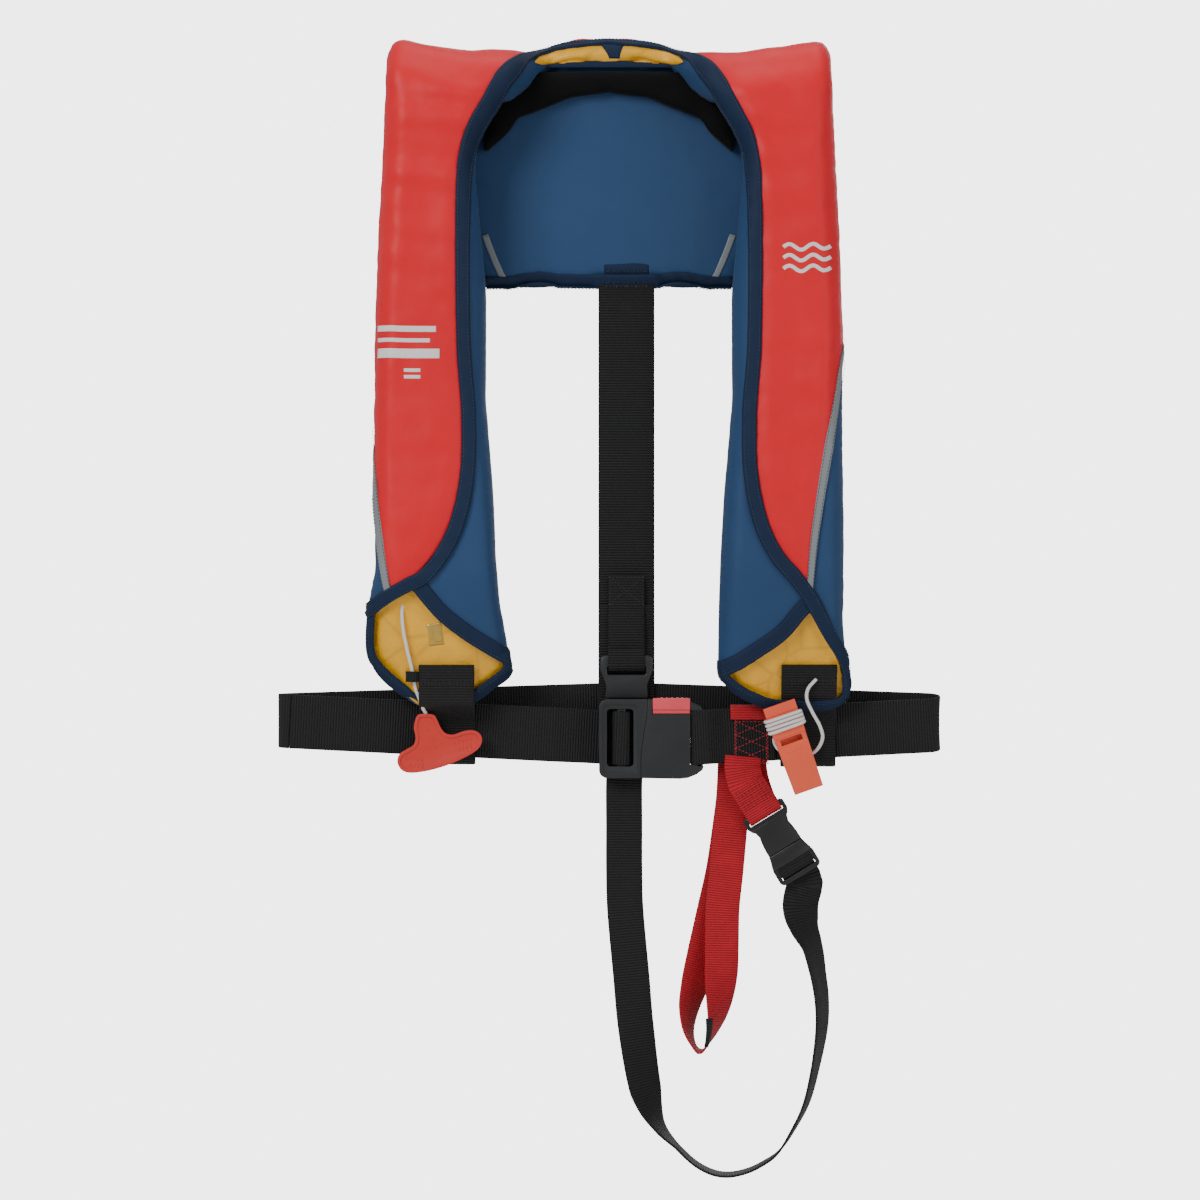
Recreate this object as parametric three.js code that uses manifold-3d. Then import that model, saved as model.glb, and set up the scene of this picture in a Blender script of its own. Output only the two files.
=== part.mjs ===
// Inflatable life jacket with a waist belt, a crotch strap, a manual pull handle and a whistle.
// Millimetres, +Z up, the wearer's front faces -Y, origin at the back of the neck opening.
import * as THREE from "three";
import { mergeVertices } from "three/addons/utils/BufferGeometryUtils.js";
import Module from "manifold-3d";

const wasm = await Module();
wasm.setup();

// ---------------------------------------------------------------- driving dimensions
const gap = 0.3;                  // between pieces that touch
const fabric = 2;                 // a cover or lining with its seam allowance
const webbing = 2;                // thickness of all webbing

const lobeFront = -46;            // front face of a lobe
const lobeBack = -4;              // face of a lobe against the chest
const footDepth = 12;             // thickness of a lobe at its foot
const footTaper = 110;            // height over which the foot thins out
const lobeOuter = 200;            // half width over both lobes
const lobeInner = 100;            // half width of the opening between the lobes
const lobeFoot = -545;            // lowest edge of the lobes
const shoulderTop = 11;
const neckHalf = 57;              // half width of the raised collar
const collarTop = 25;
const coverTip = -447;            // where the front cover runs out to a point
const bindingWidth = 13;

const yokeFront = 26;             // face of the yoke against the back
const yokeBack = 38;              // rear face of the yoke
const yokeHem = -194;
const yokeHemHalf = 104;

const beltWidth = 46;
const beltHalf = 281;             // half span of the belt as folded flat
const beltFrontY = 0;             // middle of the front run
const beltBackY = 20;             // middle of the back run
const beltZ = -560;               // centre line of the belt at its folds
const beltSag = -16;              // drop of the front run at the buckle
const beltRise = 10;              // rise of the back run at the middle

const strapX = 15;                // centre of the back strap
const backStrapWidth = 48;
const crotchWidth = 31;

const buckleX = 36;               // centre of the waist buckle
const buckleZ = -575;
const buckleLength = 89;
const buckleHeight = 67;
const buckleDepth = 14;
const buckleSplit = 33;           // where the two halves meet
const tongueLength = 34;
const tongueHeight = 38;
const tongueDepth = 6;
const buttonLength = 32;
const buttonHeight = 15;
const buttonDepth = 8;
const buttonTravel = 3;

const clipTilt = 0.545;           // lean of the crotch buckle from vertical, radians
const clipX = 133;
const clipZ = -640;
const clipBody = 32;              // width of its body
const clipEars = 39;              // width where the webbing passes
const clipDepth = 11;
const clipSeam = -32;             // where its halves meet, below the upper slot
const clipEnd = -60;
const prongLength = 22;

const cordDiameter = 3;
const handleX = -143;
const handleZ = -579;
const handleDepth = 5;

const whistleTop = [143, -545];
const whistleTilt = 0.34;
const whistleLength = 77;
const whistleWidth = 28;
const whistleTip = 25;
const whistleDepth = 10;

const inflatorX = -146;
const inflatorZ = -466;
const inflatorY = -19;
const inflatorWidth = 34;
const inflatorHeight = 44;
const inflatorDepth = 16;
const cylinderRadius = 11;
const cylinderLength = 118;
const capRadius = 8;
const capLength = 18;

const oralX = 150;
const oralTop = -180;
const oralLength = 120;
const oralRadius = 7;

// ---------------------------------------------------------------- solids
function solid(geometry) {
  const bare = geometry.clone();
  bare.deleteAttribute("normal");
  bare.deleteAttribute("uv");
  const merged = mergeVertices(bare, 1e-4);
  const mesh = new wasm.Mesh({
    numProp: 3,
    vertProperties: new Float32Array(merged.attributes.position.array),
    triVerts: new Uint32Array(merged.index.array),
  });
  return new wasm.Manifold(mesh);
}

function geometryOf(body) {
  const mesh = body.getMesh();
  const geometry = new THREE.BufferGeometry();
  geometry.setAttribute("position", new THREE.BufferAttribute(new Float32Array(mesh.vertProperties), 3));
  geometry.setIndex(new THREE.BufferAttribute(new Uint32Array(mesh.triVerts), 1));
  return geometry;
}

const join = (...bodies) => bodies.reduce((whole, body) => whole.add(body));
const cut = (body, ...tools) => tools.reduce((whole, tool) => whole.subtract(tool), body);

function shapeOf(points) {
  return new THREE.Shape(points.map(([a, b]) => new THREE.Vector2(a, b)));
}

// An outline in X and Z, made solid from yFront to yBack.
function plate(points, yFront, yBack) {
  const geometry = new THREE.ExtrudeGeometry(shapeOf(points), { depth: yBack - yFront, bevelEnabled: false });
  geometry.rotateX(Math.PI / 2);
  geometry.translate(0, yBack, 0);
  return solid(geometry);
}

// An outline in Y and Z, made solid from xLow to xHigh.
function bar(points, xLow, xHigh) {
  const geometry = new THREE.ExtrudeGeometry(shapeOf(points), { depth: xHigh - xLow, bevelEnabled: false });
  geometry.rotateY(Math.PI / 2);
  geometry.rotateX(Math.PI / 2);
  geometry.translate(xLow, 0, 0);
  return solid(geometry);
}

function box(x, y, z) {
  const geometry = new THREE.BoxGeometry(x[1] - x[0], y[1] - y[0], z[1] - z[0]);
  geometry.translate((x[0] + x[1]) / 2, (y[0] + y[1]) / 2, (z[0] + z[1]) / 2);
  return solid(geometry);
}

// A box with rounded edges as seen from the front.
function roundedPlate(x, y, z, radius) {
  const shape = new THREE.Shape();
  shape.moveTo(x[0] + radius, z[0]);
  shape.lineTo(x[1] - radius, z[0]);
  shape.absarc(x[1] - radius, z[0] + radius, radius, -Math.PI / 2, 0);
  shape.absarc(x[1] - radius, z[1] - radius, radius, 0, Math.PI / 2);
  shape.absarc(x[0] + radius, z[1] - radius, radius, Math.PI / 2, Math.PI);
  shape.absarc(x[0] + radius, z[0] + radius, radius, Math.PI, Math.PI * 1.5);
  const points = shape.getPoints(4).map((p) => [p.x, p.y]);
  return plate(points, y[0], y[1]);
}

// A solid of revolution along Z: profile rows are [radius, z], from the bottom up.
function turned(profile, x, y, sides = 20) {
  const points = profile.map(([r, z]) => new THREE.Vector2(r, z));
  const geometry = new THREE.LatheGeometry(points, sides);
  geometry.rotateX(Math.PI / 2);
  geometry.translate(x, y, 0);
  return solid(geometry);
}

function rod(radius, x, y, zLow, zHigh, sides = 16) {
  return turned([[0, zLow], [radius, zLow], [radius, zHigh], [0, zHigh]], x, y, sides);
}

function rodAlongX(radius, xLow, xHigh, y, z) {
  const geometry = new THREE.CylinderGeometry(radius, radius, xHigh - xLow, 16);
  geometry.rotateZ(Math.PI / 2);
  geometry.translate((xLow + xHigh) / 2, y, z);
  return solid(geometry);
}

function rodAlongY(radius, x, yLow, yHigh, z) {
  const geometry = new THREE.CylinderGeometry(radius, radius, yHigh - yLow, 16);
  geometry.translate(x, (yLow + yHigh) / 2, z);
  return solid(geometry);
}

// A round cord along a list of points.
function tube(points, diameter, steps, sides = 8) {
  const curve = new THREE.CatmullRomCurve3(points.map((p) => new THREE.Vector3(...p)));
  const section = new THREE.Shape();
  section.absarc(0, 0, diameter / 2, 0, Math.PI * 2);
  const shape = new THREE.Shape(section.getSpacedPoints(sides).slice(0, sides));
  return solid(new THREE.ExtrudeGeometry(shape, { steps, extrudePath: curve, bevelEnabled: false }));
}

// Flat webbing along a path. Each stop is [x, y, z, turn]: turn is the angle of the webbing's
// width from X towards Y, in radians. The width always stays square to the path.
function strap(stops, width, thickness, steps) {
  const path = new THREE.CatmullRomCurve3(stops.map(([x, y, z]) => new THREE.Vector3(x, y, z)), false, "centripetal");
  const rings = [];
  for (let i = 0; i <= steps; i += 1) {
    const t = i / steps;
    const spot = path.getPoint(t);
    const along = path.getTangent(t);
    const place = t * (stops.length - 1);
    const before = Math.min(Math.floor(place), stops.length - 2);
    const turn = THREE.MathUtils.lerp(stops[before][3], stops[before + 1][3], place - before);
    const across = new THREE.Vector3(Math.cos(turn), Math.sin(turn), 0);
    across.addScaledVector(along, -across.dot(along)).normalize();
    const through = new THREE.Vector3().crossVectors(along, across);
    rings.push(ringOf(spot, across.multiplyScalar(width / 2), through.multiplyScalar(thickness / 2)));
  }
  return loft(rings);
}

// Webbing whose path lies in one plane of constant X (or, with upright, of constant Z).
function ribbon(path, width, thickness, across) {
  const half = new THREE.Vector3(...across).multiplyScalar(width / 2);
  const points = path.map((p) => new THREE.Vector3(...p));
  const rings = points.map((spot, i) => {
    const along = new THREE.Vector3();
    if (i > 0) along.add(spot.clone().sub(points[i - 1]).normalize());
    if (i < points.length - 1) along.add(points[i + 1].clone().sub(spot).normalize());
    along.normalize();
    const through = new THREE.Vector3().crossVectors(along, half).normalize();
    const step = i > 0 ? spot.clone().sub(points[i - 1]).normalize() : along;
    const miter = 1 / Math.max(0.5, Math.abs(step.dot(along)));
    return ringOf(spot, half, through.multiplyScalar((thickness / 2) * miter));
  });
  return loft(rings);
}

function ringOf(spot, across, through) {
  return [
    spot.clone().add(across).add(through),
    spot.clone().sub(across).add(through),
    spot.clone().sub(across).sub(through),
    spot.clone().add(across).sub(through),
  ];
}

// Joins rings of four corners into one closed body.
function loft(rings) {
  const corners = rings.flat();
  const index = [];
  const last = (rings.length - 1) * 4;
  for (let i = 0; i < rings.length - 1; i += 1) {
    for (let k = 0; k < 4; k += 1) {
      const a = i * 4 + k;
      const b = i * 4 + ((k + 1) % 4);
      index.push(a, b, a + 4, b, b + 4, a + 4);
    }
  }
  index.push(0, 2, 1, 0, 3, 2, last, last + 1, last + 2, last, last + 2, last + 3);
  const geometry = new THREE.BufferGeometry();
  geometry.setAttribute("position", new THREE.Float32BufferAttribute(corners.flatMap((p) => p.toArray()), 3));
  geometry.setIndex(index);
  const body = solid(geometry);
  if (body.volume() > 0) return body;
  for (let i = 0; i < index.length; i += 3) [index[i], index[i + 1]] = [index[i + 1], index[i]];
  geometry.setIndex(index);
  return solid(geometry);
}

// Points of an arc in any plane, as pairs.
function arc(a, b, radius, from, to, count) {
  const points = [];
  for (let i = 0; i <= count; i += 1) {
    const angle = THREE.MathUtils.degToRad(from + ((to - from) * i) / count);
    points.push([a + radius * Math.cos(angle), b + radius * Math.sin(angle)]);
  }
  return points;
}

const mirrored = (points) => points.map(([x, z]) => [-x, z]).reverse();

// An outline moved inwards by the distance (outwards if negative).
function inset(points, distance) {
  const count = points.length;
  const area = THREE.ShapeUtils.area(points.map(([a, b]) => new THREE.Vector2(a, b)));
  return points.map(([x, z], i) => {
    const [xa, za] = points[(i + count - 1) % count];
    const [xb, zb] = points[(i + 1) % count];
    const before = new THREE.Vector2(x - xa, z - za).normalize();
    const after = new THREE.Vector2(xb - x, zb - z).normalize();
    const normal = new THREE.Vector2(-before.y - after.y, before.x + after.x).normalize();
    const reach = (Math.sign(area) * distance) / Math.max(0.5, normal.dot(new THREE.Vector2(-after.y, after.x)));
    return [x + normal.x * reach, z + normal.y * reach];
  });
}

// ---------------------------------------------------------------- group and materials
const group = new THREE.Group();
group.name = "life_jacket";

const looks = {
  red: [0xe23b38, 0.6, 0],
  blue: [0x2d4b73, 0.7, 0],
  navy: [0x122842, 0.8, 0],
  yellow: [0xe6a526, 0.55, 0],
  grey: [0x8a8f92, 0.4, 0.1],
  black: [0x141416, 0.85, 0],
  plastic: [0x2b2c2e, 0.5, 0],
  button: [0xea505a, 0.45, 0],
  orange: [0xf05f46, 0.45, 0],
  handle: [0xdc372d, 0.45, 0],
  redWebbing: [0xcd2332, 0.75, 0],
  cord: [0xeceae4, 0.8, 0],
  steel: [0x9aa0a4, 0.35, 0.9],
  clear: [0xcfe8d8, 0.1, 0],
};

function add(name, body, look) {
  const [color, roughness, metalness] = looks[look];
  const mesh = new THREE.Mesh(geometryOf(body), new THREE.MeshStandardMaterial({ color, roughness, metalness }));
  mesh.name = name;
  group.add(mesh);
}

// ---------------------------------------------------------------- jacket outlines (right half, X > 0)
const neckArch = [[108, -95], [104, -65], [92, -35], [76, -13], [54, -1], [0, 2]];
const coverArch = [[123, -75], [103, -25], [83, 3], [70, 14], [neckHalf, 17], [0, collarTop]];
const lobeSide = [[lobeOuter - 12, shoulderTop + 30], [lobeOuter - 4, -150], [lobeOuter - 1, -240], [lobeOuter, -370]];
const lobeEdge = [
  ...lobeSide, [lobeOuter - 1, -430], [lobeOuter + 3, lobeFoot + 65], [lobeOuter + 5, lobeFoot + 40],
  [lobeOuter - 2, lobeFoot + 15], [lobeOuter - 14, lobeFoot], [lobeInner + 19, lobeFoot],
  [lobeInner, lobeFoot + 7], [lobeInner - 14, lobeFoot + 21], [lobeInner - 14, lobeFoot + 33],
  [lobeInner - 10, -465], [lobeInner - 7, -420], [lobeInner - 5, -370], [lobeInner, -290],
];
const lobeOutline = [...lobeEdge, [lobeInner + 1, -200], ...neckArch.slice(0, 5), [neckHalf, shoulderTop + 30]];

// The cover's free edge runs from its tip up to the shoulder, and the tip's outer edge up the side.
const coverInner = [
  [175, coverTip], [162, coverTip + 15], [147, coverTip + 33], [134, coverTip + 59], [125, -350],
  [124, -300], [128, -240], [128.5, -130], ...coverArch.slice(0, 5),
];
const bandInner = [[195, -270], [187, -335], [181, -390]];
const bandWidth = 9;

// The yoke on the back, right half from the hem up.
const yokeSide = [[yokeHemHalf, yokeHem], [172, -60], [lobeOuter - 12, -20], [lobeOuter - 12, shoulderTop + 30]];

// ---------------------------------------------------------------- side profiles (Y and Z)
const shoulderRadius = (yokeBack - lobeFront) / 2;
const shoulderY = (yokeBack + lobeFront) / 2;
const shoulderZ = shoulderTop - shoulderRadius;
const innerRadius = (yokeFront - lobeBack) / 2;
const innerY = (yokeFront + lobeBack) / 2;

// The jacket in side view as an arch over the shoulder, thinned by the distance on every face.
function archProfile(thin) {
  const front = lobeFront + thin;
  const back = lobeBack - thin;
  return [
    [front, lobeFoot + footTaper], ...arc(shoulderY, shoulderZ, shoulderRadius - thin, 180, 0, 16),
    [yokeBack - thin, yokeHem - 1], [yokeFront + thin, yokeHem - 1],
    ...arc(innerY, shoulderZ, innerRadius + thin, 0, 180, 10), [back, lobeFoot - 1],
    [back - footDepth + 2 * thin, lobeFoot - 1],
  ];
}

function yokeOutline(thin) {
  const right = [...yokeSide, [neckHalf, shoulderTop + 30]];
  const left = mirrored(right);
  return inset([...right, ...left], thin);
}

const sideBlock = (side, from) => box(side > 0 ? [from, 260] : [-260, -from], [-60, 60], [-600, 60]);

// The jacket's whole volume, thinned by the distance: two lobes, the yoke and the raised collar.
function jacketVolume(thin) {
  const right = inset(lobeOutline, thin);
  const lobes = join(
    plate(right, lobeFront - 2, innerY),
    plate(mirrored(right), lobeFront - 2, innerY),
  );
  const opening = [[-lobeInner - 8, -220], [lobeInner + 8, -220], ...neckArch, ...mirrored(neckArch).slice(1)];
  const yoke = cut(
    plate(yokeOutline(thin), innerY - 0.1, yokeBack + 2),
    plate(inset(opening, -thin), innerY - 1, innerY + thin),
  );
  const collar = inset([[-neckHalf, -20], [neckHalf, -20], [neckHalf, 17], [0, collarTop], [-neckHalf, 17]], thin);
  const arch = bar(archProfile(thin), -260, 260);
  return join(arch.intersect(join(lobes, yoke)), plate(collar, innerY + thin, yokeBack - 6 - thin));
}

const outer = jacketVolume(0);
const shell = cut(outer, jacketVolume(fabric));

// The space of the lining: everything near the inner face of the arch.
function liningSpace(grow) {
  const reach = fabric + grow;
  return bar([
    [lobeBack - reach, lobeFoot - 5], [lobeBack - reach, shoulderZ],
    ...arc(innerY, shoulderZ, innerRadius + reach, 180, 0, 10),
    [yokeFront + reach, lobeFoot - 5],
  ], -260, 260);
}

const outerLayer = cut(shell, liningSpace(gap / 2));
const innerLayer = shell.intersect(liningSpace(-gap / 2));
const ahead = box([-260, 260], [-80, shoulderY - gap / 2], [-600, 60]);
const behind = box([-260, 260], [shoulderY + gap / 2, 80], [-600, 60]);

const sides = [["right", 1], ["left", -1]];
const onSide = (side, points) => (side > 0 ? points : mirrored(points));
const region = (side, points) => plate(onSide(side, inset(points, gap / 2)), -80, 80);

const tip = coverInner[0];
const bandOuter = bandInner.map(([x, z]) => [x + bandWidth, z]);
const bindingEdge = [
  [205, coverTip - 33], [165, coverTip - 11], [150, coverTip + 4], [134, -425], [120, -395], [112, -350],
  [111, -300], [115, -240], [115.5, -130], [111, -80], [93, -32], [74, -5], [62, 4],
];
const flapLower = [[153, -458], [138, -470], [118, -489], [84, -507]];
const flapBindingLower = [[164, -463], [154, -476], [134, -492], [106, -510], [84, -519]];
const footEdge = [[201, -492], [197, -508], [188, -520], [176, -530], [122, -530], [106, -522], [98, -515]];

const coverRegion = [
  ...coverInner, [neckHalf, 60], [260, 60], [260, -240], [196, -240], ...bandInner,
];
const bandRegion = [
  tip, [tip[0] + bandWidth, tip[1] - 6], ...bandOuter.slice().reverse(), [260, -270], [260, -240], [196, -240],
  ...bandInner,
];
const gussetRegion = [
  [tip[0] + bandWidth, tip[1] - 6], [207, coverTip - 22], [260, coverTip - 22], [260, -270], ...bandOuter,
];
const bindingRegion = [
  ...coverInner, ...bindingEdge.slice().reverse(), [207, coverTip - 22], [tip[0] + bandWidth, tip[1] - 6],
];
const flapRegion = [
  ...bindingEdge.slice(1), [40, 4], [40, -507], ...flapLower.slice().reverse(),
];
const flapBindingRegion = [...flapLower, ...flapBindingLower.slice().reverse()];

for (const [name, side] of sides) {
  const front = outerLayer.intersect(ahead);
  add(`front_cover_${name}`, front.intersect(region(side, coverRegion)), "red");
  add(`reflective_strip_${name}`, front.intersect(region(side, bandRegion)), "grey");
  add(`side_gusset_${name}`, front.intersect(region(side, gussetRegion)), "blue");
}

// ---------------------------------------------------------------- linings, bindings and covers
const footRim = region(1, [...footEdge, [60, -515], [60, -560], [230, -560], [230, -492]]);
const footRimBoth = join(footRim, footRim.mirror([1, 0, 0]));
const lobeHollow = jacketVolume(fabric + gap);

for (const [name, side] of sides) {
  const half = sideBlock(side, 2);
  const flap = outerLayer.intersect(ahead).intersect(region(side, flapRegion));
  const back = innerLayer.intersect(box([-260, 260], [-80, innerY - gap / 2], [-600, 60])).intersect(half);
  const innerWall = shell.intersect(half).intersect(box([-lobeInner - 10, lobeInner + 10], [-80, 0], [-506, -100]));
  const wall = cut(innerWall, region(side, bindingRegion), region(side, flapBindingRegion));
  add(`lining_${name}`, cut(join(flap, back, wall), footRimBoth), "blue");
  add(`flap_binding_${name}`, outerLayer.intersect(ahead).intersect(region(side, flapBindingRegion)), "navy");
}

const footLining = innerLayer.intersect(box([-260, 260], [-80, innerY], [lobeFoot - 1, -480])).intersect(footRimBoth);
for (const [name, side] of sides) {
  add(`foot_binding_${name}`, footLining.intersect(sideBlock(side, 2)), "navy");
}

const rearSpace = box([-260, 260], [innerY + gap / 2, 80], [-600, 60]);
const hemHeight = 10;
const hem = box([-260, 260], [0, 80], [yokeHem - 2, yokeHem + hemHeight]);
const aboveHem = box([-260, 260], [-80, 80], [yokeHem + hemHeight + gap, 60]);
const collarFace = box([-neckHalf - 40, neckHalf + 40], [innerY - 1, innerY + fabric + gap / 2], [-30, 60]);
const collarBack = box([-neckHalf - 40, neckHalf + 40], [innerY + fabric + gap, 80], [-30, 60]);
const liningTop = -4;
add("back_lining", innerLayer.intersect(rearSpace).intersect(aboveHem)
  .intersect(box([-260, 260], [0, 80], [-600, liningTop - gap])), "blue");
add("back_cover", cut(outerLayer.intersect(behind).intersect(aboveHem), collarFace), "red");
add("hem_binding", shell.intersect(hem), "navy");

// The binding runs from one cover tip, round the neck, to the other tip.
const crown = [[-neckHalf, 17], [-neckHalf, 9], [0, collarTop - 4], [neckHalf, 9], [neckHalf, 17], [0, collarTop + 3]];
const crownFace = shell.intersect(collarFace).intersect(plate(crown, 0, 40));
const frontFace = outerLayer.intersect(ahead);
add("cover_binding_right", frontFace.intersect(region(1, bindingRegion)), "navy");
add("cover_binding_left", frontFace.intersect(region(-1, bindingRegion)), "navy");
add("collar_binding", crownFace, "navy");

const collarLow = [[-neckHalf, liningTop], [neckHalf, liningTop], [neckHalf - 4, 0], [0, 4], [-neckHalf + 4, 0]];
add("neck_binding", shell.intersect(collarFace).intersect(plate(collarLow, 0, 40)), "navy");

// ---------------------------------------------------------------- neck pad, collar tab and bladder
const padEdge = [[84, -7], [98, -30], [108, -77], [84, -57], [77, -46], [56, -38], [33, -29], [0, -25]];
const padOutline = [...padEdge, ...mirrored(padEdge).slice(1)];
const padFront = innerY - 5;
const clearOfJacket = jacketVolume(-gap);
add("neck_pad", cut(plate(padOutline, padFront, yokeFront - gap), clearOfJacket), "black");

const tabHalf = 9;
add("collar_tab", box([-tabHalf, tabHalf], [innerY - gap - webbing, innerY - gap], [0, collarTop - 1]), "navy");

const capTop = inflatorZ - inflatorHeight / 2 - gap;
const cylinderLow = inflatorZ + inflatorHeight / 2 + gap;
const room = 1.5;
const inflatorRoom = box(
  [inflatorX - inflatorWidth / 2 - 12, inflatorX + inflatorWidth / 2 + room],
  [lobeFront - 2, inflatorY + cylinderRadius + room],
  [capTop - capLength - 2 * room, cylinderLow + cylinderLength + room],
);
const oralRoom = box(
  [oralX - oralRadius - 2 - room, oralX + oralRadius + 2 + room],
  [lobeFront - 2, inflatorY + oralRadius + 2 + room],
  [oralTop - oralLength - room, oralTop + 22],
);
add("bladder", cut(lobeHollow, inflatorRoom, oralRoom), "yellow");

// ---------------------------------------------------------------- inflator in the left lobe
const bossRadius = 4;
const leverThickness = 4;
const leverX = inflatorX - inflatorWidth / 2 - gap - leverThickness / 2;
const leverZ = inflatorZ + 3;
const pinRadius = 1.5;
const windowRadius = 5;
const inflatorFront = inflatorY - inflatorDepth / 2;
const inflatorBack = inflatorY + inflatorDepth / 2;
const inflatorBody = roundedPlate(
  [inflatorX - inflatorWidth / 2, inflatorX + inflatorWidth / 2],
  [inflatorFront, inflatorBack],
  [inflatorZ - inflatorHeight / 2, inflatorZ + inflatorHeight / 2],
  6,
);
const pinBore = rodAlongX(pinRadius + gap, leverX - 4, inflatorX, inflatorY, leverZ);
const windowPocket = rodAlongY(windowRadius + gap, inflatorX + 6, inflatorFront - 1, inflatorFront + 3, inflatorZ);
const flange = box(
  [inflatorX - 10, inflatorX + 10],
  [inflatorBack - 0.01, inflatorY + cylinderRadius + room - gap],
  [inflatorZ - 10, inflatorZ + 10],
);
add("inflator_body", join(cut(inflatorBody, pinBore, windowPocket), flange), "plastic");
add("inflator_window",
  rodAlongY(windowRadius, inflatorX + 6, inflatorFront - 0.5, inflatorFront + 2.7, inflatorZ), "clear");
add("lever_pin", rodAlongX(pinRadius, leverX - 4, inflatorX - gap, inflatorY, leverZ), "steel");

const leverReach = 16;
const leverEye = rodAlongX(bossRadius, leverX - leverThickness / 2, leverX + leverThickness / 2, inflatorY, leverZ);
const leverArm = box(
  [leverX - leverThickness / 2, leverX + leverThickness / 2],
  [inflatorY - leverReach, inflatorY],
  [leverZ - 3, leverZ + 3],
);
const leverHole = rodAlongX(pinRadius + gap, leverX - 5, leverX + 5, inflatorY, leverZ);
add("inflator_lever", cut(join(leverEye, leverArm), leverHole), "handle");

add("firing_cap", turned([
  [0, capTop - capLength], [capRadius - 2, capTop - capLength], [capRadius, capTop - capLength + 3],
  [capRadius, capTop], [0, capTop],
], inflatorX, inflatorY), "orange");

const cylinderTop = cylinderLow + cylinderLength;
add("gas_cylinder", turned([
  [0, cylinderLow], [6, cylinderLow], [6, cylinderLow + 12], [cylinderRadius, cylinderLow + 24],
  [cylinderRadius, cylinderTop - 8], [cylinderRadius - 5, cylinderTop - 2], [0, cylinderTop],
], inflatorX, inflatorY), "steel");

// ---------------------------------------------------------------- oral tube in the right lobe
const oralLow = oralTop - oralLength;
const oralFlange = oralRadius + 2 + room - gap;
add("oral_tube", turned([
  [0, oralLow], [oralFlange, oralLow], [oralFlange, oralLow + 3], [oralRadius, oralLow + 6],
  [oralRadius, oralTop - 10], [oralRadius - 2, oralTop - 10], [oralRadius - 2, oralTop], [0, oralTop],
], oralX, inflatorY), "black");
add("oral_cap", turned([
  [oralRadius - 2 + gap, oralTop - 10 + gap], [oralRadius, oralTop - 10 + gap], [oralRadius, oralTop + 4],
  [0, oralTop + 4], [0, oralTop + gap], [oralRadius - 2 + gap, oralTop + gap],
  [oralRadius - 2 + gap, oralTop - 10 + gap],
], oralX, inflatorY), "orange");

// ---------------------------------------------------------------- back strap and waist belt
const beltRadius = (beltBackY - beltFrontY) / 2;
const beltAt = (x) => beltZ + beltSag * (1 - Math.abs(x - buckleX) / (beltHalf + Math.abs(buckleX)));
const beltBackAt = (x) => beltZ + beltRise * (1 - Math.abs(x) / beltHalf);
const beltHalfWidth = beltWidth / 2;
const upright = [0, 0, 1];
const level = [1, 0, 0];

const strapTop = yokeHem + 20;
const strapY = yokeFront - gap - webbing / 2;
const strapLoopTop = beltBackAt(strapX) + beltHalfWidth + 6;
const strapLoopLow = beltBackAt(strapX) - beltHalfWidth - 3;
const loopBackY = beltBackY + webbing + 1;
const loopFrontY = beltBackY - webbing - 1;
add("back_strap", ribbon([
  [strapX, strapY, strapTop], [strapX, strapY, strapLoopTop + 40], [strapX, loopBackY, strapLoopTop],
  [strapX, loopBackY, strapLoopLow], [strapX, beltBackY, strapLoopLow - 3],
  [strapX, loopFrontY, strapLoopLow], [strapX, loopFrontY, strapLoopTop],
  [strapX, strapY - webbing - gap, strapLoopTop + 38], [strapX, strapY - webbing - gap, strapLoopTop + 60],
], backStrapWidth, webbing, level), "black");
add("hem_patch", box(
  [strapX - 20, strapX + 20],
  [strapY - webbing / 2 - gap - 1, strapY - webbing / 2 - gap],
  [strapTop - 18, strapTop - 1],
), "black");

// Left front run: from the fold, behind the buckle's rim, round its bar and back as a short tail.
const buckleFront = -8;
const buckleBack = buckleFront + buckleDepth;
const buckleMid = (buckleFront + buckleBack) / 2;
const buckleLeft = buckleX - buckleLength / 2;
const buckleRight = buckleX + buckleLength / 2;
const wrapLow = buckleFront + 2;
const wrapHigh = buckleBack + webbing / 2 + gap;
const barLow = buckleLeft + 15;
const barWidth = 8;
const slotWidth = 5;
const at = (x, y) => [x, y, beltAt(x)];
const foldStart = -beltHalf + beltRadius;
add("belt_front_left", ribbon([
  at(foldStart + gap, beltFrontY), at(buckleLeft - 40, beltFrontY), at(buckleLeft - 12, wrapHigh),
  at(barLow - 6, wrapHigh), at(barLow - 2.6, wrapHigh - 3), at(barLow - 2.6, wrapLow + 1.5),
  at(barLow, wrapLow), at(barLow + barWidth, wrapLow),
  at(barLow + barWidth + 2.6, wrapLow + 1.5), at(barLow + barWidth + 2.6, wrapHigh),
  at(barLow + barWidth, wrapHigh + webbing + gap), at(buckleLeft - 14, wrapHigh + webbing + gap),
  at(buckleLeft - 70, beltFrontY + webbing + gap),
], beltWidth, webbing, upright), "black");

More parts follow.
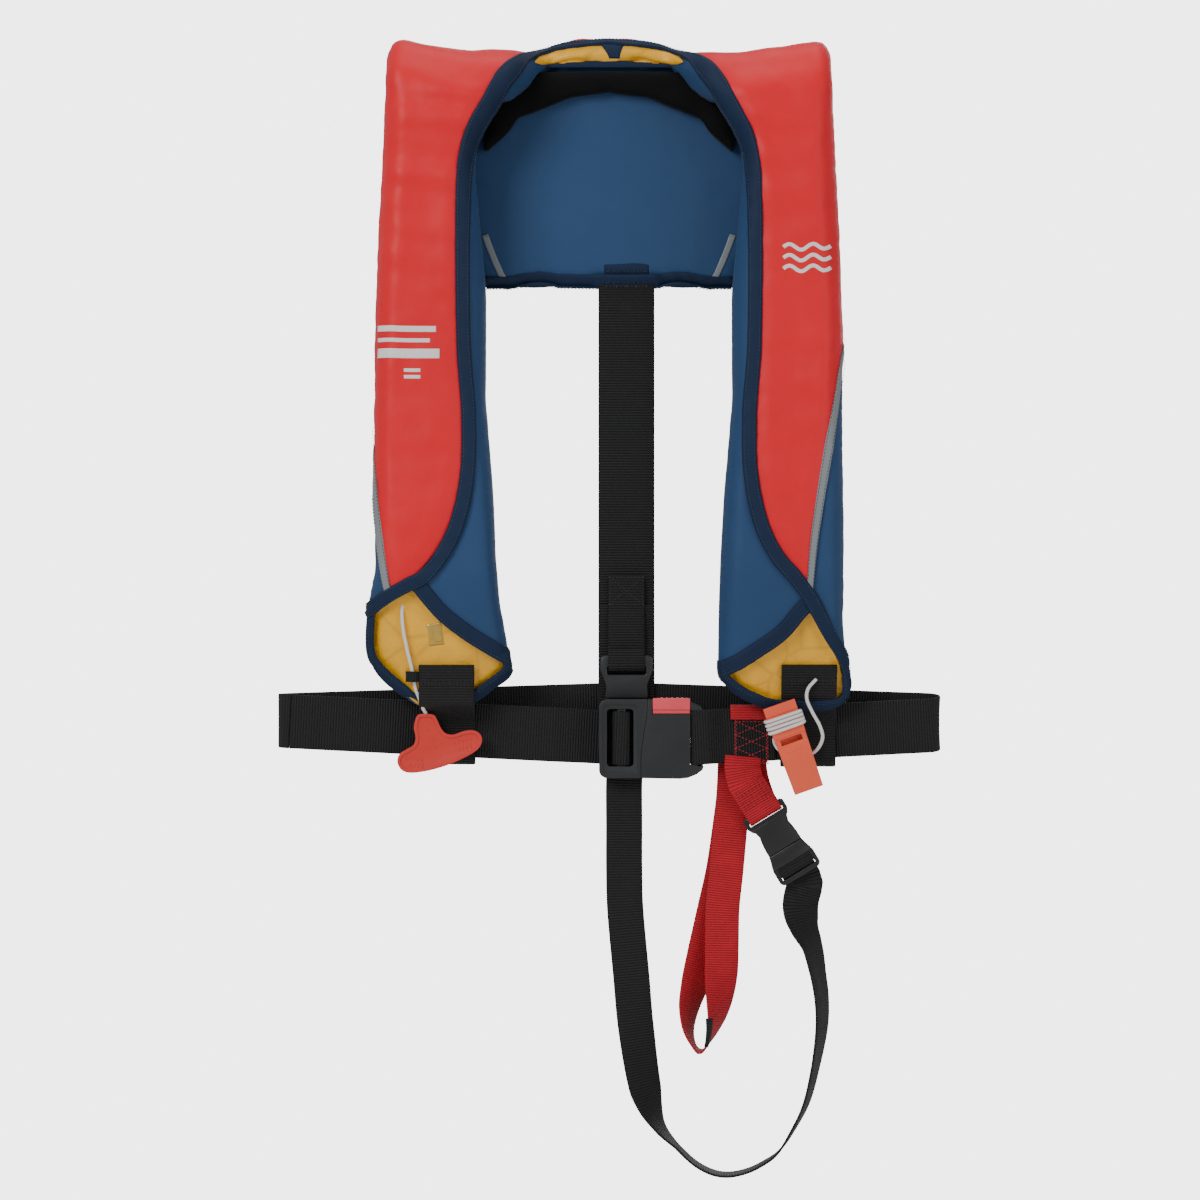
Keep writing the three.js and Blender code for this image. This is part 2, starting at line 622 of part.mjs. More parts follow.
// The rest of the belt: both folds, the back run and the right front run.
const rightBar = buckleRight - 7;
const fold = (side, count) => arc(0, 0, beltRadius, 0, 180, count).map(([a, b]) => [
  side * (beltHalf - beltRadius + b), beltFrontY + beltRadius + side * a,
]);
const leftFold = fold(-1, 8).map(([x, y]) => [x, y, y < beltRadius ? beltAt(x) : beltBackAt(x)]);
const rightFold = fold(1, 8).map(([x, y]) => [x, y, y < beltRadius ? beltAt(x) : beltBackAt(x)]);
const rightSlotX = rightBar - slotWidth / 2 - gap;
add("belt_back", ribbon([
  ...leftFold, [strapX, beltBackY, beltBackAt(strapX)], ...rightFold,
  at(buckleRight + 14, beltFrontY), at(buckleRight + 5, wrapHigh + 0.5), at(rightBar + 1, wrapHigh + 0.5),
  at(rightSlotX - 0.6, wrapHigh - 2), at(rightSlotX - 0.6, buckleFront + 2), at(rightBar, buckleFront - 1.6),
  at(buckleRight + 3, buckleFront - 1.6), at(buckleRight + 16, beltFrontY - webbing - gap),
  at(buckleRight + 60, beltFrontY - webbing - gap),
], beltWidth, webbing, upright), "black");

// ---------------------------------------------------------------- belt loops under the lobes
const loopX = { left: -137, right: 169 };
const loopTop = lobeFoot + 33;
const loopWidth = 47;
for (const [name] of sides) {
  const x = loopX[name];
  const low = beltAt(x) - beltHalfWidth - 3;
  const beltTop = beltAt(x) + beltHalfWidth + 1;
  const front = lobeBack - footDepth - webbing;
  const inFront = beltFrontY - webbing - 1;
  const inBack = beltFrontY + webbing + 2;
  add(`belt_loop_${name}`, ribbon([
    [x, front - 9, loopTop], [x, front - 3.5, lobeFoot + 12], [x, front - 1.5, lobeFoot - 3],
    [x, inFront, lobeFoot - 14], [x, inFront, low], [x, beltFrontY, low - 4], [x, inBack, low],
    [x, inBack, beltTop], [x, lobeBack + webbing / 2 + gap, beltTop + 8],
    [x, lobeBack + webbing / 2 + gap, beltTop + 48],
  ], loopWidth, webbing, level), "black");
}

// ---------------------------------------------------------------- waist buckle
const buckleTop = buckleZ + buckleHeight / 2;
const buckleLow = buckleZ - buckleHeight / 2;
const fit = 0.4;
const slotHalf = beltHalfWidth + 3;
const tongue = [
  [buckleSplit - 4, buckleSplit + tongueLength],
  [buckleMid - tongueDepth / 2, buckleMid + tongueDepth / 2],
  [buckleZ - 4 - tongueHeight / 2, buckleZ - 4 + tongueHeight / 2],
];
const grow = (span, by) => [span[0] - by, span[1] + by];
const maleFrame = roundedPlate([buckleLeft, buckleSplit - gap], [buckleFront, buckleBack], [buckleLow, buckleTop], 5);
const maleWindow = box(
  [buckleLeft + 6, barLow + barWidth + slotWidth + 2],
  [buckleFront - 1, buckleBack + 1],
  [buckleZ - slotHalf, buckleZ + slotHalf],
);
const rimRelief = box(
  [buckleLeft - 1, buckleLeft + 7],
  [wrapHigh - webbing / 2 - 2 * gap, buckleBack + 1],
  [buckleZ - slotHalf, buckleZ + slotHalf],
);
const maleBar = box(
  [barLow, barLow + barWidth],
  [wrapLow + webbing / 2 + gap, wrapHigh - webbing / 2 - 2],
  [buckleZ - slotHalf - 1, buckleZ + slotHalf + 1],
);
add("buckle_male", join(cut(maleFrame, maleWindow, rimRelief), maleBar, box(...tongue)), "plastic");

const socket = box(
  [buckleSplit - 1, buckleSplit + tongueLength + 1],
  grow(tongue[1], fit),
  grow(tongue[2], fit),
);
const buttonX = [buckleSplit + 4, buckleSplit + 4 + buttonLength];
const buttonSocketLow = tongue[2][1] + fit + 2;
const buttonLow = buttonSocketLow + buttonTravel + 1.5;
const buttonRoom = box(
  grow(buttonX, gap),
  [buckleMid - buttonDepth / 2 - gap, buckleMid + buttonDepth / 2 + gap],
  [buttonSocketLow, buckleTop + 1],
);
const beltSlot = box(
  [rightBar - slotWidth - 1, rightBar],
  [buckleFront - 1, buckleBack + 1],
  [buckleZ - slotHalf, buckleZ + slotHalf],
);
const femaleBlock = roundedPlate([buckleSplit, buckleRight], [buckleFront, buckleBack], [buckleLow, buckleTop], 5);
add("buckle_female", cut(femaleBlock, socket, buttonRoom, beltSlot), "plastic");
add("release_button", box(
  buttonX,
  [buckleMid - buttonDepth / 2, buckleMid + buttonDepth / 2],
  [buttonLow, buckleTop + 1],
), "button");
add("button_spring", rod(
  2.5, (buttonX[0] + buttonX[1]) / 2, buckleMid, buttonSocketLow + gap, buttonLow - gap, 12,
), "steel");

// ---------------------------------------------------------------- crotch strap slider
const sliderWidth = 44;
const sliderTop = -508;
const sliderLow = -539;
const sliderFront = buckleBack + 3;
const sliderDepth = 4;
const crotchY = sliderFront + sliderDepth / 2;
const crotchSlot = crotchWidth / 2 + 1;
const sliderFrame = roundedPlate(
  [strapX - sliderWidth / 2, strapX + sliderWidth / 2],
  [sliderFront, sliderFront + sliderDepth],
  [sliderLow, sliderTop],
  4,
);
const sliderSlots = [sliderTop - 9.5, sliderLow + 9.5].map((z) => box(
  [strapX - crotchSlot, strapX + crotchSlot],
  [sliderFront - 1, sliderFront + sliderDepth + 1],
  [z - 3.5, z + 3.5],
));
add("strap_slider", cut(sliderFrame, ...sliderSlots), "plastic");
const railY = sliderFront - webbing / 2 - gap;
const behindRailY = sliderFront + sliderDepth + webbing / 2 + gap;
const keeperY = strapY - 2 * (webbing + gap);
const topRail = sliderTop - 3;
add("slider_strap", ribbon([
  [strapX, keeperY, topRail + 74], [strapX, keeperY, topRail + 46], [strapX, behindRailY, topRail + 8],
  [strapX, behindRailY, topRail - 3], [strapX, behindRailY - 1.6, topRail - 6.4],
  [strapX, railY + 1.6, topRail - 6.4], [strapX, railY, topRail - 3], [strapX, railY, topRail + 12],
], crotchWidth, webbing, level), "black");

// ---------------------------------------------------------------- crotch buckle, built upright
function placeClip(body) {
  return body.rotate([0, THREE.MathUtils.radToDeg(-clipTilt), 0]).translate([clipX, 0, clipZ]);
}

const earHalf = clipEars / 2;
const bodyHalf = clipBody / 2;
const clipHalf = clipDepth / 2;
const earDepth = 3.5;
const webSlot = crotchWidth / 2 + 1;
const prongHalf = 2.4;
const prongX = [6.5, 12.5];
const ears = roundedPlate([-earHalf, earHalf], [-earDepth, earDepth], [-6, 6], 3);
const upperSlot = box([-webSlot, webSlot], [-earDepth - 1, earDepth + 1], [-3.5, 1.5]);
const clipHousing = roundedPlate([-bodyHalf, bodyHalf], [-clipHalf, clipHalf], [clipSeam, -5], 3);
const clipSocket = box(
  [-prongX[1] - fit, prongX[1] + fit],
  [-prongHalf - fit, prongHalf + fit],
  [clipSeam - 1, clipSeam + prongLength + 1],
);
const sideWindows = box(
  [-bodyHalf - 1, bodyHalf + 1],
  [-prongHalf - fit, prongHalf + fit],
  [clipSeam + 8, clipSeam + 19],
);
add("crotch_buckle_female", placeClip(cut(join(ears, clipHousing), upperSlot, clipSocket, sideWindows)), "plastic");

const maleTop = clipSeam - gap;
const ladderTop = maleTop - 9;
const clipBase = roundedPlate([-bodyHalf, bodyHalf], [-clipHalf, clipHalf], [ladderTop - 3, maleTop], 2.5);
const ladder = roundedPlate([-earHalf, earHalf], [-earDepth, earDepth], [clipEnd, ladderTop], 3);
const ladderSlots = [ladderTop - 7.5, clipEnd + 2.4].map((z) => box(
  [-webSlot, webSlot],
  [-clipDepth, clipDepth],
  [z, z + 5.3],
));
const prongs = [-1, 1].map((side) => box(
  side > 0 ? prongX : [-prongX[1], -prongX[0]],
  [-prongHalf, prongHalf],
  [maleTop - 3, clipSeam + prongLength],
));
add("crotch_buckle_male", placeClip(join(cut(join(clipBase, ladder), ...ladderSlots), ...prongs)), "plastic");

// ---------------------------------------------------------------- red tab and lifting loop
const tabBack = beltFrontY + webbing + 1;
const overRail = earDepth + webbing / 2 + gap;
add("red_tab", join(
  strap([
    [118, tabBack, -556, 0], [118.5, tabBack, -595, 0], [121, tabBack + 0.6, -612, 0],
    [126, overRail, -627, 0], [129.5, overRail, -633.5, 0],
  ], crotchWidth, webbing, 24),
  placeClip(ribbon([
    [0, overRail, 8], [0, overRail, 1.2], [0, overRail - 1.4, -1.4], [0, -overRail + 1.4, -1.4],
    [0, -overRail, 1.2], [0, -overRail, 30],
  ], crotchWidth, webbing, level)),
), "redWebbing");

const loopY = tabBack + webbing + 2;
const loopDrop = [
  [108, loopY, -560, 0], [107, loopY, -612, 0], [104, loopY + 0.6, -650, 0], [101, 5.5, -688, 0], [97, 2, -722, 0], [92, -2, -757, 0.05],
  [86, -5, -790, 0.1], [80, -6, -815, 0.1], [77, -5, -832, 0.1], [76.5, 0, -840, 0.1],
];
const loopReturn = [
  [78, 5, -832, 0.1], [84, 8, -815, 0.1], [91, 10, -790, 0.1], [97, 10.5, -757, 0.05], [100, 10, -722, 0],
  [103, 10, -688, 0], [104, 10.2, -650, 0], [107, loopY + webbing + gap, -620, 0], [108, loopY + webbing + gap, -600, 0],
];
add("lifting_loop", strap([...loopDrop, ...loopReturn], crotchWidth, webbing, 72), "redWebbing");

// ---------------------------------------------------------------- crotch strap
const crotchHang = [
  [strapX, behindRailY, -585, 0], [13, 10, -612, 0], [13, 8, -650, 0], [13, 6, -688, 0], [14, 5, -722, 0],
  [19, 4, -777, 0], [23, 3, -821, 0.15], [31, 2, -873, 0.5], [42, 2, -903, 1.2], [57, 2, -921, 1.5],
  [73, 2, -936, 1.5], [88, 2, -944, 1.5], [102, 2, -946, 1.5], [117, 2, -943, 1.5], [130, 2, -937, 1.5],
  [144, 2, -927, 1.45], [156, 2, -909, 1.4], [168, 2, -885, 1.35], [176, 2, -853, 1.3], [181, 2, -821, 1.2],
  [181, 2, -797, 1.15], [178, 2, -776, 1.1], [173, 3, -752, 0.95], [166, 4, -735, 0.6], [163, overRail + 0.5, -717, 0.2],
  [167, overRail + 0.5, -699, 0],
];
const lowRail = sliderLow + 3;
add("crotch_strap", join(
  ribbon([
    [strapX, railY, lowRail - 12], [strapX, railY, lowRail + 3], [strapX, railY + 1.6, lowRail + 6.4],
    [strapX, behindRailY - 1.6, lowRail + 6.4], [strapX, behindRailY, lowRail + 3],
    [strapX, behindRailY, -588],
  ], crotchWidth, webbing, level),
  strap(crotchHang, crotchWidth, webbing, 76),
  placeClip(ribbon([
    [0, overRail, clipEnd - 6], [0, overRail, clipEnd + 2.8], [0, overRail - 1.2, clipEnd + 5.2],
    [0, -overRail + 0.8, clipEnd + 5.6], [0, -overRail, clipEnd + 8.5], [0, -overRail, clipEnd + 10.5],
  ], crotchWidth, webbing, level)),
), "black");

// ---------------------------------------------------------------- pull handle, cord and keeper
const handleOutline = [
  [-19, 25], [-3, 24], [2, 14], [10, 8], [24, 10], [33, 8], [35, 2], [32, -5], [22, -9], [10, -12],
  [4, -22], [-4, -25], [-22, -24], [-32, -21], [-36, -15], [-33, -9], [-24, -4], [-20, 4], [-21, 16],
].map(([x, z]) => [handleX + x, handleZ + z]);
const handleBack = lobeBack - footDepth + 2;
const handleFront = handleBack - handleDepth;
const handleRecess = plate(inset(handleOutline, 3), handleFront - 1, handleFront + 1.2);
add("pull_handle", cut(plate(handleOutline, handleFront, handleBack), handleRecess), "handle");

const cordEnd = [handleX - 12, handleFront + handleDepth / 2 - 1, handleZ + 25 + 4 * gap];
const cordStart = [leverX, inflatorY - leverReach - 2 * gap, leverZ];
const pullRoute = [
  cordStart, [-166, -38.8, -464], [-173, -41.5, -469], [-173.4, -38.5, -484], [-170, -34.5, -499],
  [-166.5, -31, -514], [-165, -29.3, -522], [-163.5, -27.5, -531], [-160, -25.5, -541], [-156.8, -23.4, -549.5], cordEnd,
];
add("pull_cord", tube(pullRoute, cordDiameter, 40), "cord");
const keeperZ = [-526, -518];
add("cord_keeper", cut(
  box([-171, -160.8], [-33, -26.2], keeperZ),
  box([-169.6, -162], [-32, -27], grow(keeperZ, 1)),
), "black");

// ---------------------------------------------------------------- whistle and its lanyard
const whistleY = -29.5;
const whistleAnchor = [175, -28, -524];
const halfTop = whistleWidth / 2;
const halfTip = whistleTip / 2;
function placeWhistle(body) {
  return body.rotate([0, THREE.MathUtils.radToDeg(-whistleTilt), 0])
    .translate([whistleTop[0], whistleY, whistleTop[1]]);
}
const whistleShape = plate([
  [-halfTop, 0], [halfTop, 0], [halfTip, -whistleLength], [-halfTip, -whistleLength],
], -whistleDepth / 2, whistleDepth / 2);
const whistleBore = box([-halfTip + 3, halfTip - 3], [-whistleDepth / 2 + 2, whistleDepth / 2 - 2], [-80, -28]);
const whistleSlot = box([-halfTip + 3, halfTip - 3], [-whistleDepth, 0], [-36, -30]);
add("whistle", placeWhistle(cut(whistleShape, whistleBore, whistleSlot)), "orange");
const wrapOuter = box(
  [-halfTop - gap - cordDiameter, halfTop + gap + cordDiameter],
  [-whistleDepth / 2 - gap - cordDiameter, whistleDepth / 2 + gap + cordDiameter],
  [-22, -10],
);
const wrapInner = box(
  [-halfTop - gap, halfTop + gap],
  [-whistleDepth / 2 - gap, whistleDepth / 2 + gap],
  [-23, -9],
);
add("lanyard_wraps", placeWhistle(cut(wrapOuter, wrapInner)), "cord");
const lanyardRoute = [
  whistleAnchor, [168, -29, -532], [166.8, -31, -541], [171.5, -31.5, -552], [178, -31, -564],
  [180, -28, -575], [173, -23, -586], [158, -22.4, -589], [145, -22.4, -585], [139.5, -22.6, -577],
  [140.9, -22.8, -570.4],
];
add("whistle_lanyard", tube(lanyardRoute, cordDiameter, 50), "cord");

// ---------------------------------------------------------------- small trim
add("loop_marker", box([68, 86], [-1.2, 1.2], [-846, -842.4]), "black");

export default group;
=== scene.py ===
import math
import bmesh
import bpy
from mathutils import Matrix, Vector
from mathutils.geometry import delaunay_2d_cdt
from mathutils.kdtree import KDTree
from mathutils.noise import noise


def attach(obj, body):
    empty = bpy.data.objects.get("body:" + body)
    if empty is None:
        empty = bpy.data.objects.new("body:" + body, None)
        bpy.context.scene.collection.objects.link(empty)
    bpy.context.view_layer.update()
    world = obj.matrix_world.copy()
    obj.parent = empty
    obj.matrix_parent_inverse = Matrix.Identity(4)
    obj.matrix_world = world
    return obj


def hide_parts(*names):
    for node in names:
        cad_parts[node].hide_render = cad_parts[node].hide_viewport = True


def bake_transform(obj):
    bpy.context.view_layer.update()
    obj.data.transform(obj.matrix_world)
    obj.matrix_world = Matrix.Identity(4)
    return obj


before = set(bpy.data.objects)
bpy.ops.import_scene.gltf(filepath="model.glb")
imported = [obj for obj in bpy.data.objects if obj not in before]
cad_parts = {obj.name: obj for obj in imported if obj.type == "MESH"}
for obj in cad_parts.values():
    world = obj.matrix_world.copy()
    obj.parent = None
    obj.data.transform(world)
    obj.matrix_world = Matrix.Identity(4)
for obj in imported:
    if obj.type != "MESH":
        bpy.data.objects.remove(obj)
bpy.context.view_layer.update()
mm = 0.001
print("frame loaded")

# ---- camera and light
view = {"middleX": -7.6, "middleZ": -457.3, "across": 1020.0, "lens": 135.0, "sensor": 36.0}
distance = view["across"] * mm * view["lens"] / view["sensor"]
cameraData = bpy.data.cameras.new("camera")
cameraData.lens = view["lens"]
cameraData.sensor_width = view["sensor"]
camera = bpy.data.objects.new("camera", cameraData)
camera.location = (view["middleX"] * mm, -distance, view["middleZ"] * mm)
camera.rotation_euler = (math.pi / 2, 0, 0)
bpy.context.scene.collection.objects.link(camera)
bpy.context.scene.camera = camera


def addLight(name, place, target, size, power):
    lamp = bpy.data.lights.new(name, "AREA")
    lamp.size = size
    lamp.energy = power
    holder = bpy.data.objects.new(name, lamp)
    holder.location = place
    aim = Vector(target) - Vector(place)
    holder.rotation_euler = aim.to_track_quat("-Z", "Y").to_euler()
    bpy.context.scene.collection.objects.link(holder)


studio = {
    "middle": (0, 0, -0.45), "ambient": 0.42, "backdrop": 4.2,
    "lamps": {  # place, size, power
        "keyLight": ((-1.5, -2.2, 0.9), 1.2, 46), "fillLight": ((1.9, -2.0, -0.1), 1.8, 16),
        "topLight": ((0.2, 0.1, 1.9), 1.4, 16), "backLight": ((0.5, 2.4, 0.4), 1.8, 16),
    },
}
for lampName, (place, size, power) in studio["lamps"].items():
    addLight(lampName, place, studio["middle"], size, power)
world = bpy.data.worlds.new("studio")
world.use_nodes = True
world.node_tree.nodes["Background"].inputs[0].default_value = (1, 1, 1, 1)
rays = world.node_tree.nodes.new("ShaderNodeLightPath")
strength = world.node_tree.nodes.new("ShaderNodeMix")
strength.inputs[2].default_value = studio["ambient"]
strength.inputs[3].default_value = studio["backdrop"]
world.node_tree.links.new(rays.outputs["Is Camera Ray"], strength.inputs[0])
world.node_tree.links.new(strength.outputs[0], world.node_tree.nodes["Background"].inputs[1])
bpy.context.scene.world = world
print("camera and light set")


# ---- shader maths
class Wire:
    # a socket that takes part in Python arithmetic
    def __init__(self, paint, socket):
        self.paint = paint
        self.socket = socket

    def maths(self, operation, *values):
        return self.paint.node("ShaderNodeMath", {"operation": operation}, *values)

    def __add__(self, other):
        return self.maths("ADD", self, other)

    def __radd__(self, other):
        return self.maths("ADD", other, self)

    def __sub__(self, other):
        return self.maths("SUBTRACT", self, other)

    def __rsub__(self, other):
        return self.maths("SUBTRACT", other, self)

    def __mul__(self, other):
        return self.maths("MULTIPLY", self, other)

    def __rmul__(self, other):
        return self.maths("MULTIPLY", other, self)

    def __pow__(self, other):
        return self.maths("POWER", self, other)

    def sine(self):
        return self.maths("SINE", self)

    def size(self):
        return self.maths("ABSOLUTE", self)

    def clamp(self):
        return self.paint.node("ShaderNodeClamp", {}, self)


class Paint:
    # one material and the nodes that feed its shader
    def __init__(self, name, **constants):
        self.material = bpy.data.materials.new(name)
        self.material.use_nodes = True
        self.tree = self.material.node_tree
        self.shader = self.tree.nodes["Principled BSDF"]
        for key, value in constants.items():
            self.shader.inputs[socketNames[key]].default_value = value

    def node(self, kind, settings, *values, out=0, **named):
        made = self.tree.nodes.new(kind)
        for key, value in settings.items():
            setattr(made, key, value)
        for spot, value in list(enumerate(values)) + list(named.items()):
            self.feed(made.inputs[spot], value)
        return Wire(self, made.outputs[out])

    def feed(self, socket, value):
        if isinstance(value, Wire):
            self.tree.links.new(value.socket, socket)
        elif value is not None:
            socket.default_value = value

    def parts(self, vector):
        split = self.tree.nodes.new("ShaderNodeSeparateXYZ")
        self.feed(split.inputs[0], vector)
        return [Wire(self, split.outputs[i]) for i in range(3)]

    def place(self):
        return self.node("ShaderNodeTexCoord", {}, out="Object")

    def uv(self):
        return self.node("ShaderNodeTexCoord", {}, out="UV")

    def cloud(self, vector, scale, detail=3.0, roughness=0.55):
        return self.node("ShaderNodeTexNoise", {}, Vector=vector, Scale=scale, Detail=detail,
                         Roughness=roughness)

    def blend(self, amount, first, second):
        made = self.tree.nodes.new("ShaderNodeMix")
        made.data_type = "RGBA"
        for spot, value in ((0, amount), (6, first), (7, second)):
            if isinstance(value, tuple) and len(value) == 3:
                value = (*value, 1)
            self.feed(made.inputs[spot], value)
        return Wire(self, made.outputs[2])

    def bump(self, height, strength, depth, before=None):
        return self.node("ShaderNodeBump", {}, Strength=strength, Distance=depth, Height=height,
                         Normal=before)

    def scaled(self, colour, tone):
        return self.node("ShaderNodeVectorMath", {"operation": "SCALE"}, colour, Scale=tone)

    def finish(self, colour=None, roughness=None, normal=None):
        for key, value in (("Base Color", colour), ("Roughness", roughness), ("Normal", normal)):
            if value is not None:
                self.feed(self.shader.inputs[key], value)
        return self.material


socketNames = {
    "metallic": "Metallic", "sheen": "Sheen Weight", "sheenRoughness": "Sheen Roughness",
    "coat": "Coat Weight", "coatRoughness": "Coat Roughness", "specular": "Specular IOR Level",
}


def tint(colour, factor):
    return tuple(min(1.0, c * factor) for c in colour)


# coated woven cloth: fine plain weave, slow fading of the colour, scuffed sheen
def clothPaint(name, colour, weave=0.9, rough=0.55, sheen=0.04, fade=0.12, creases=0.6, shine=0.25):
    paint = Paint(name, sheen=sheen, sheenRoughness=0.4, specular=shine)
    spot = paint.place()
    x, y, z = paint.parts(spot)
    pitch = 2 * math.pi / (weave * mm)
    warp = (x * pitch).sine()
    weft = ((z + y) * pitch).sine()
    threads = warp * weft * 0.5 + 0.5
    slow = paint.cloud(spot, 9.0, 4.0)
    scuff = paint.cloud(spot, 55.0, 5.0, 0.65)
    fold = paint.cloud(spot, 26.0, 2.5, 0.45)
    tone = (slow - 0.5) * 2 * fade + 1 + (scuff - 0.5) * 0.08 - (1 - threads) * 0.05
    base = paint.scaled(colour, tone)
    wear = paint.blend((scuff - 0.62).clamp() * 0.9, base, tint(colour, 1.5))
    weaveBump = paint.bump(threads, 0.25, 0.12 * mm)
    creaseBump = paint.bump(fold, creases, 2.2 * mm, weaveBump)
    return paint.finish(wear, (scuff - 0.5) * 0.25 + rough, creaseBump)


# webbing: u runs across and v along, in metres; its colour is painted darker in the grooves between the ribs,
# as painted shade
def webbingPaint(name, colour, rib=2.3, rough=0.62, grooveShade=0.45, edge=1.25):
    paint = Paint(name, sheen=0.03, sheenRoughness=0.45, specular=0.3)
    u, v, _ = paint.parts(paint.uv())
    spot = paint.place()
    ribs = (v * (math.pi / (rib * mm))).sine().size()
    threads = (u * (2 * math.pi / (1.5 * mm)) + v * (math.pi / (rib * mm))).sine() * 0.5 + 0.5
    height = ribs ** 0.6 * 0.8 + threads * 0.2
    worn = paint.cloud(spot, 70.0, 4.0, 0.6)
    # painted shade: the colour darkens in the grooves between the ribs, where the bump sinks
    tone = height * (1 - grooveShade) + grooveShade + (worn - 0.5) * 0.3
    base = paint.scaled(colour, tone)
    dusty = paint.blend((worn - 0.58).clamp() * 1.2, base, tint(colour, edge))
    normal = paint.bump(height, 1.0, 0.8 * mm)
    return paint.finish(dusty, (worn - 0.5) * 0.2 + rough, normal)


# moulded plastic: fine spark texture, rubbed edges
def plasticPaint(name, colour, rough=0.42, grain=0.25, coat=0.0, speck=420.0):
    paint = Paint(name, coat=coat, coatRoughness=0.25)
    spot = paint.place()
    fine = paint.cloud(spot, speck, 3.0, 0.6)
    slow = paint.cloud(spot, 24.0, 4.0, 0.6)
    scratch = paint.cloud(paint.node("ShaderNodeMapping", {}, spot, Scale=(900.0, 900.0, 60.0)), 1.0, 2.0)
    tone = (slow - 0.5) * 0.22 + 1 + (fine - 0.5) * 0.1
    base = paint.scaled(colour, tone)
    rubbed = paint.blend((scratch - 0.66).clamp() * 0.5, base, tint(colour, 1.9))
    return paint.finish(rubbed, (slow - 0.5) * 0.22 + rough, paint.bump(fine, grain, 0.15 * mm))


def steelPaint(name, colour, rough=0.32):
    paint = Paint(name, metallic=1.0)
    spot = paint.place()
    lines = paint.cloud(paint.node("ShaderNodeMapping", {}, spot, Scale=(1200.0, 1200.0, 40.0)), 1.0, 3.0)
    slow = paint.cloud(spot, 30.0, 3.0)
    base = paint.scaled(colour, (slow - 0.5) * 0.2 + 1)
    return paint.finish(base, (lines - 0.5) * 0.3 + rough, paint.bump(lines, 0.2, 0.1 * mm))


# braided cord: u runs round and v along, in metres
def cordPaint(name, colour):
    paint = Paint(name, sheen=0.3)
    u, v, _ = paint.parts(paint.uv())
    left = (u * (2 * math.pi / (1.6 * mm)) + v * (2 * math.pi / (2.2 * mm))).sine()
    right = (u * (2 * math.pi / (1.6 * mm)) - v * (2 * math.pi / (2.2 * mm))).sine()
    braid = left * right * 0.5 + 0.5
    dirt = paint.cloud(paint.place(), 60.0, 3.0)
    base = paint.scaled(colour, braid * 0.2 + 0.75 + dirt * 0.1)
    return paint.finish(base, dirt * 0.2 + 0.6, paint.bump(braid, 0.6, 0.35 * mm))


# twisted thread: a slanting twist in the object's own metres
def threadPaint(name, colour):
    paint = Paint(name, sheen=0.2)
    spot = paint.place()
    x, y, z = paint.parts(spot)
    twist = ((x + y * 0.6 - z) * (2 * math.pi / (0.7 * mm))).sine() * 0.5 + 0.5
    dirt = paint.cloud(spot, 60.0, 3.0)
    base = paint.scaled(colour, twist * 0.25 + 0.75 + dirt * 0.1)
    return paint.finish(base, dirt * 0.2 + 0.55, paint.bump(twist, 0.4, 0.15 * mm))


# coated bladder film: painted shade, darker where its crease bump sinks and darkest along the fold lines
def coatedFilmPaint(name, colour):
    paint = Paint(name, coat=0.25, coatRoughness=0.3)
    spot = paint.place()
    crease = paint.cloud(spot, 34.0, 5.0, 0.62)
    folds = paint.node("ShaderNodeTexVoronoi", {"feature": "DISTANCE_TO_EDGE"}, Vector=spot, Scale=22.0)
    # painted shade: the colour follows the crease noise that also raises the bump
    shade = (crease - 0.5) * 0.55 + 1
    base = paint.scaled(colour, shade)
    # painted shade along the fold lines, where the fold bump sinks
    foldShade = paint.blend((0.05 - folds).clamp() * 9.0, base, tint(colour, 0.62))
    rough = paint.bump(folds, 0.3, 3 * mm)
    return paint.finish(foldShade, (crease - 0.5) * 0.3 + 0.42, paint.bump(crease, 0.7, 5 * mm, rough))


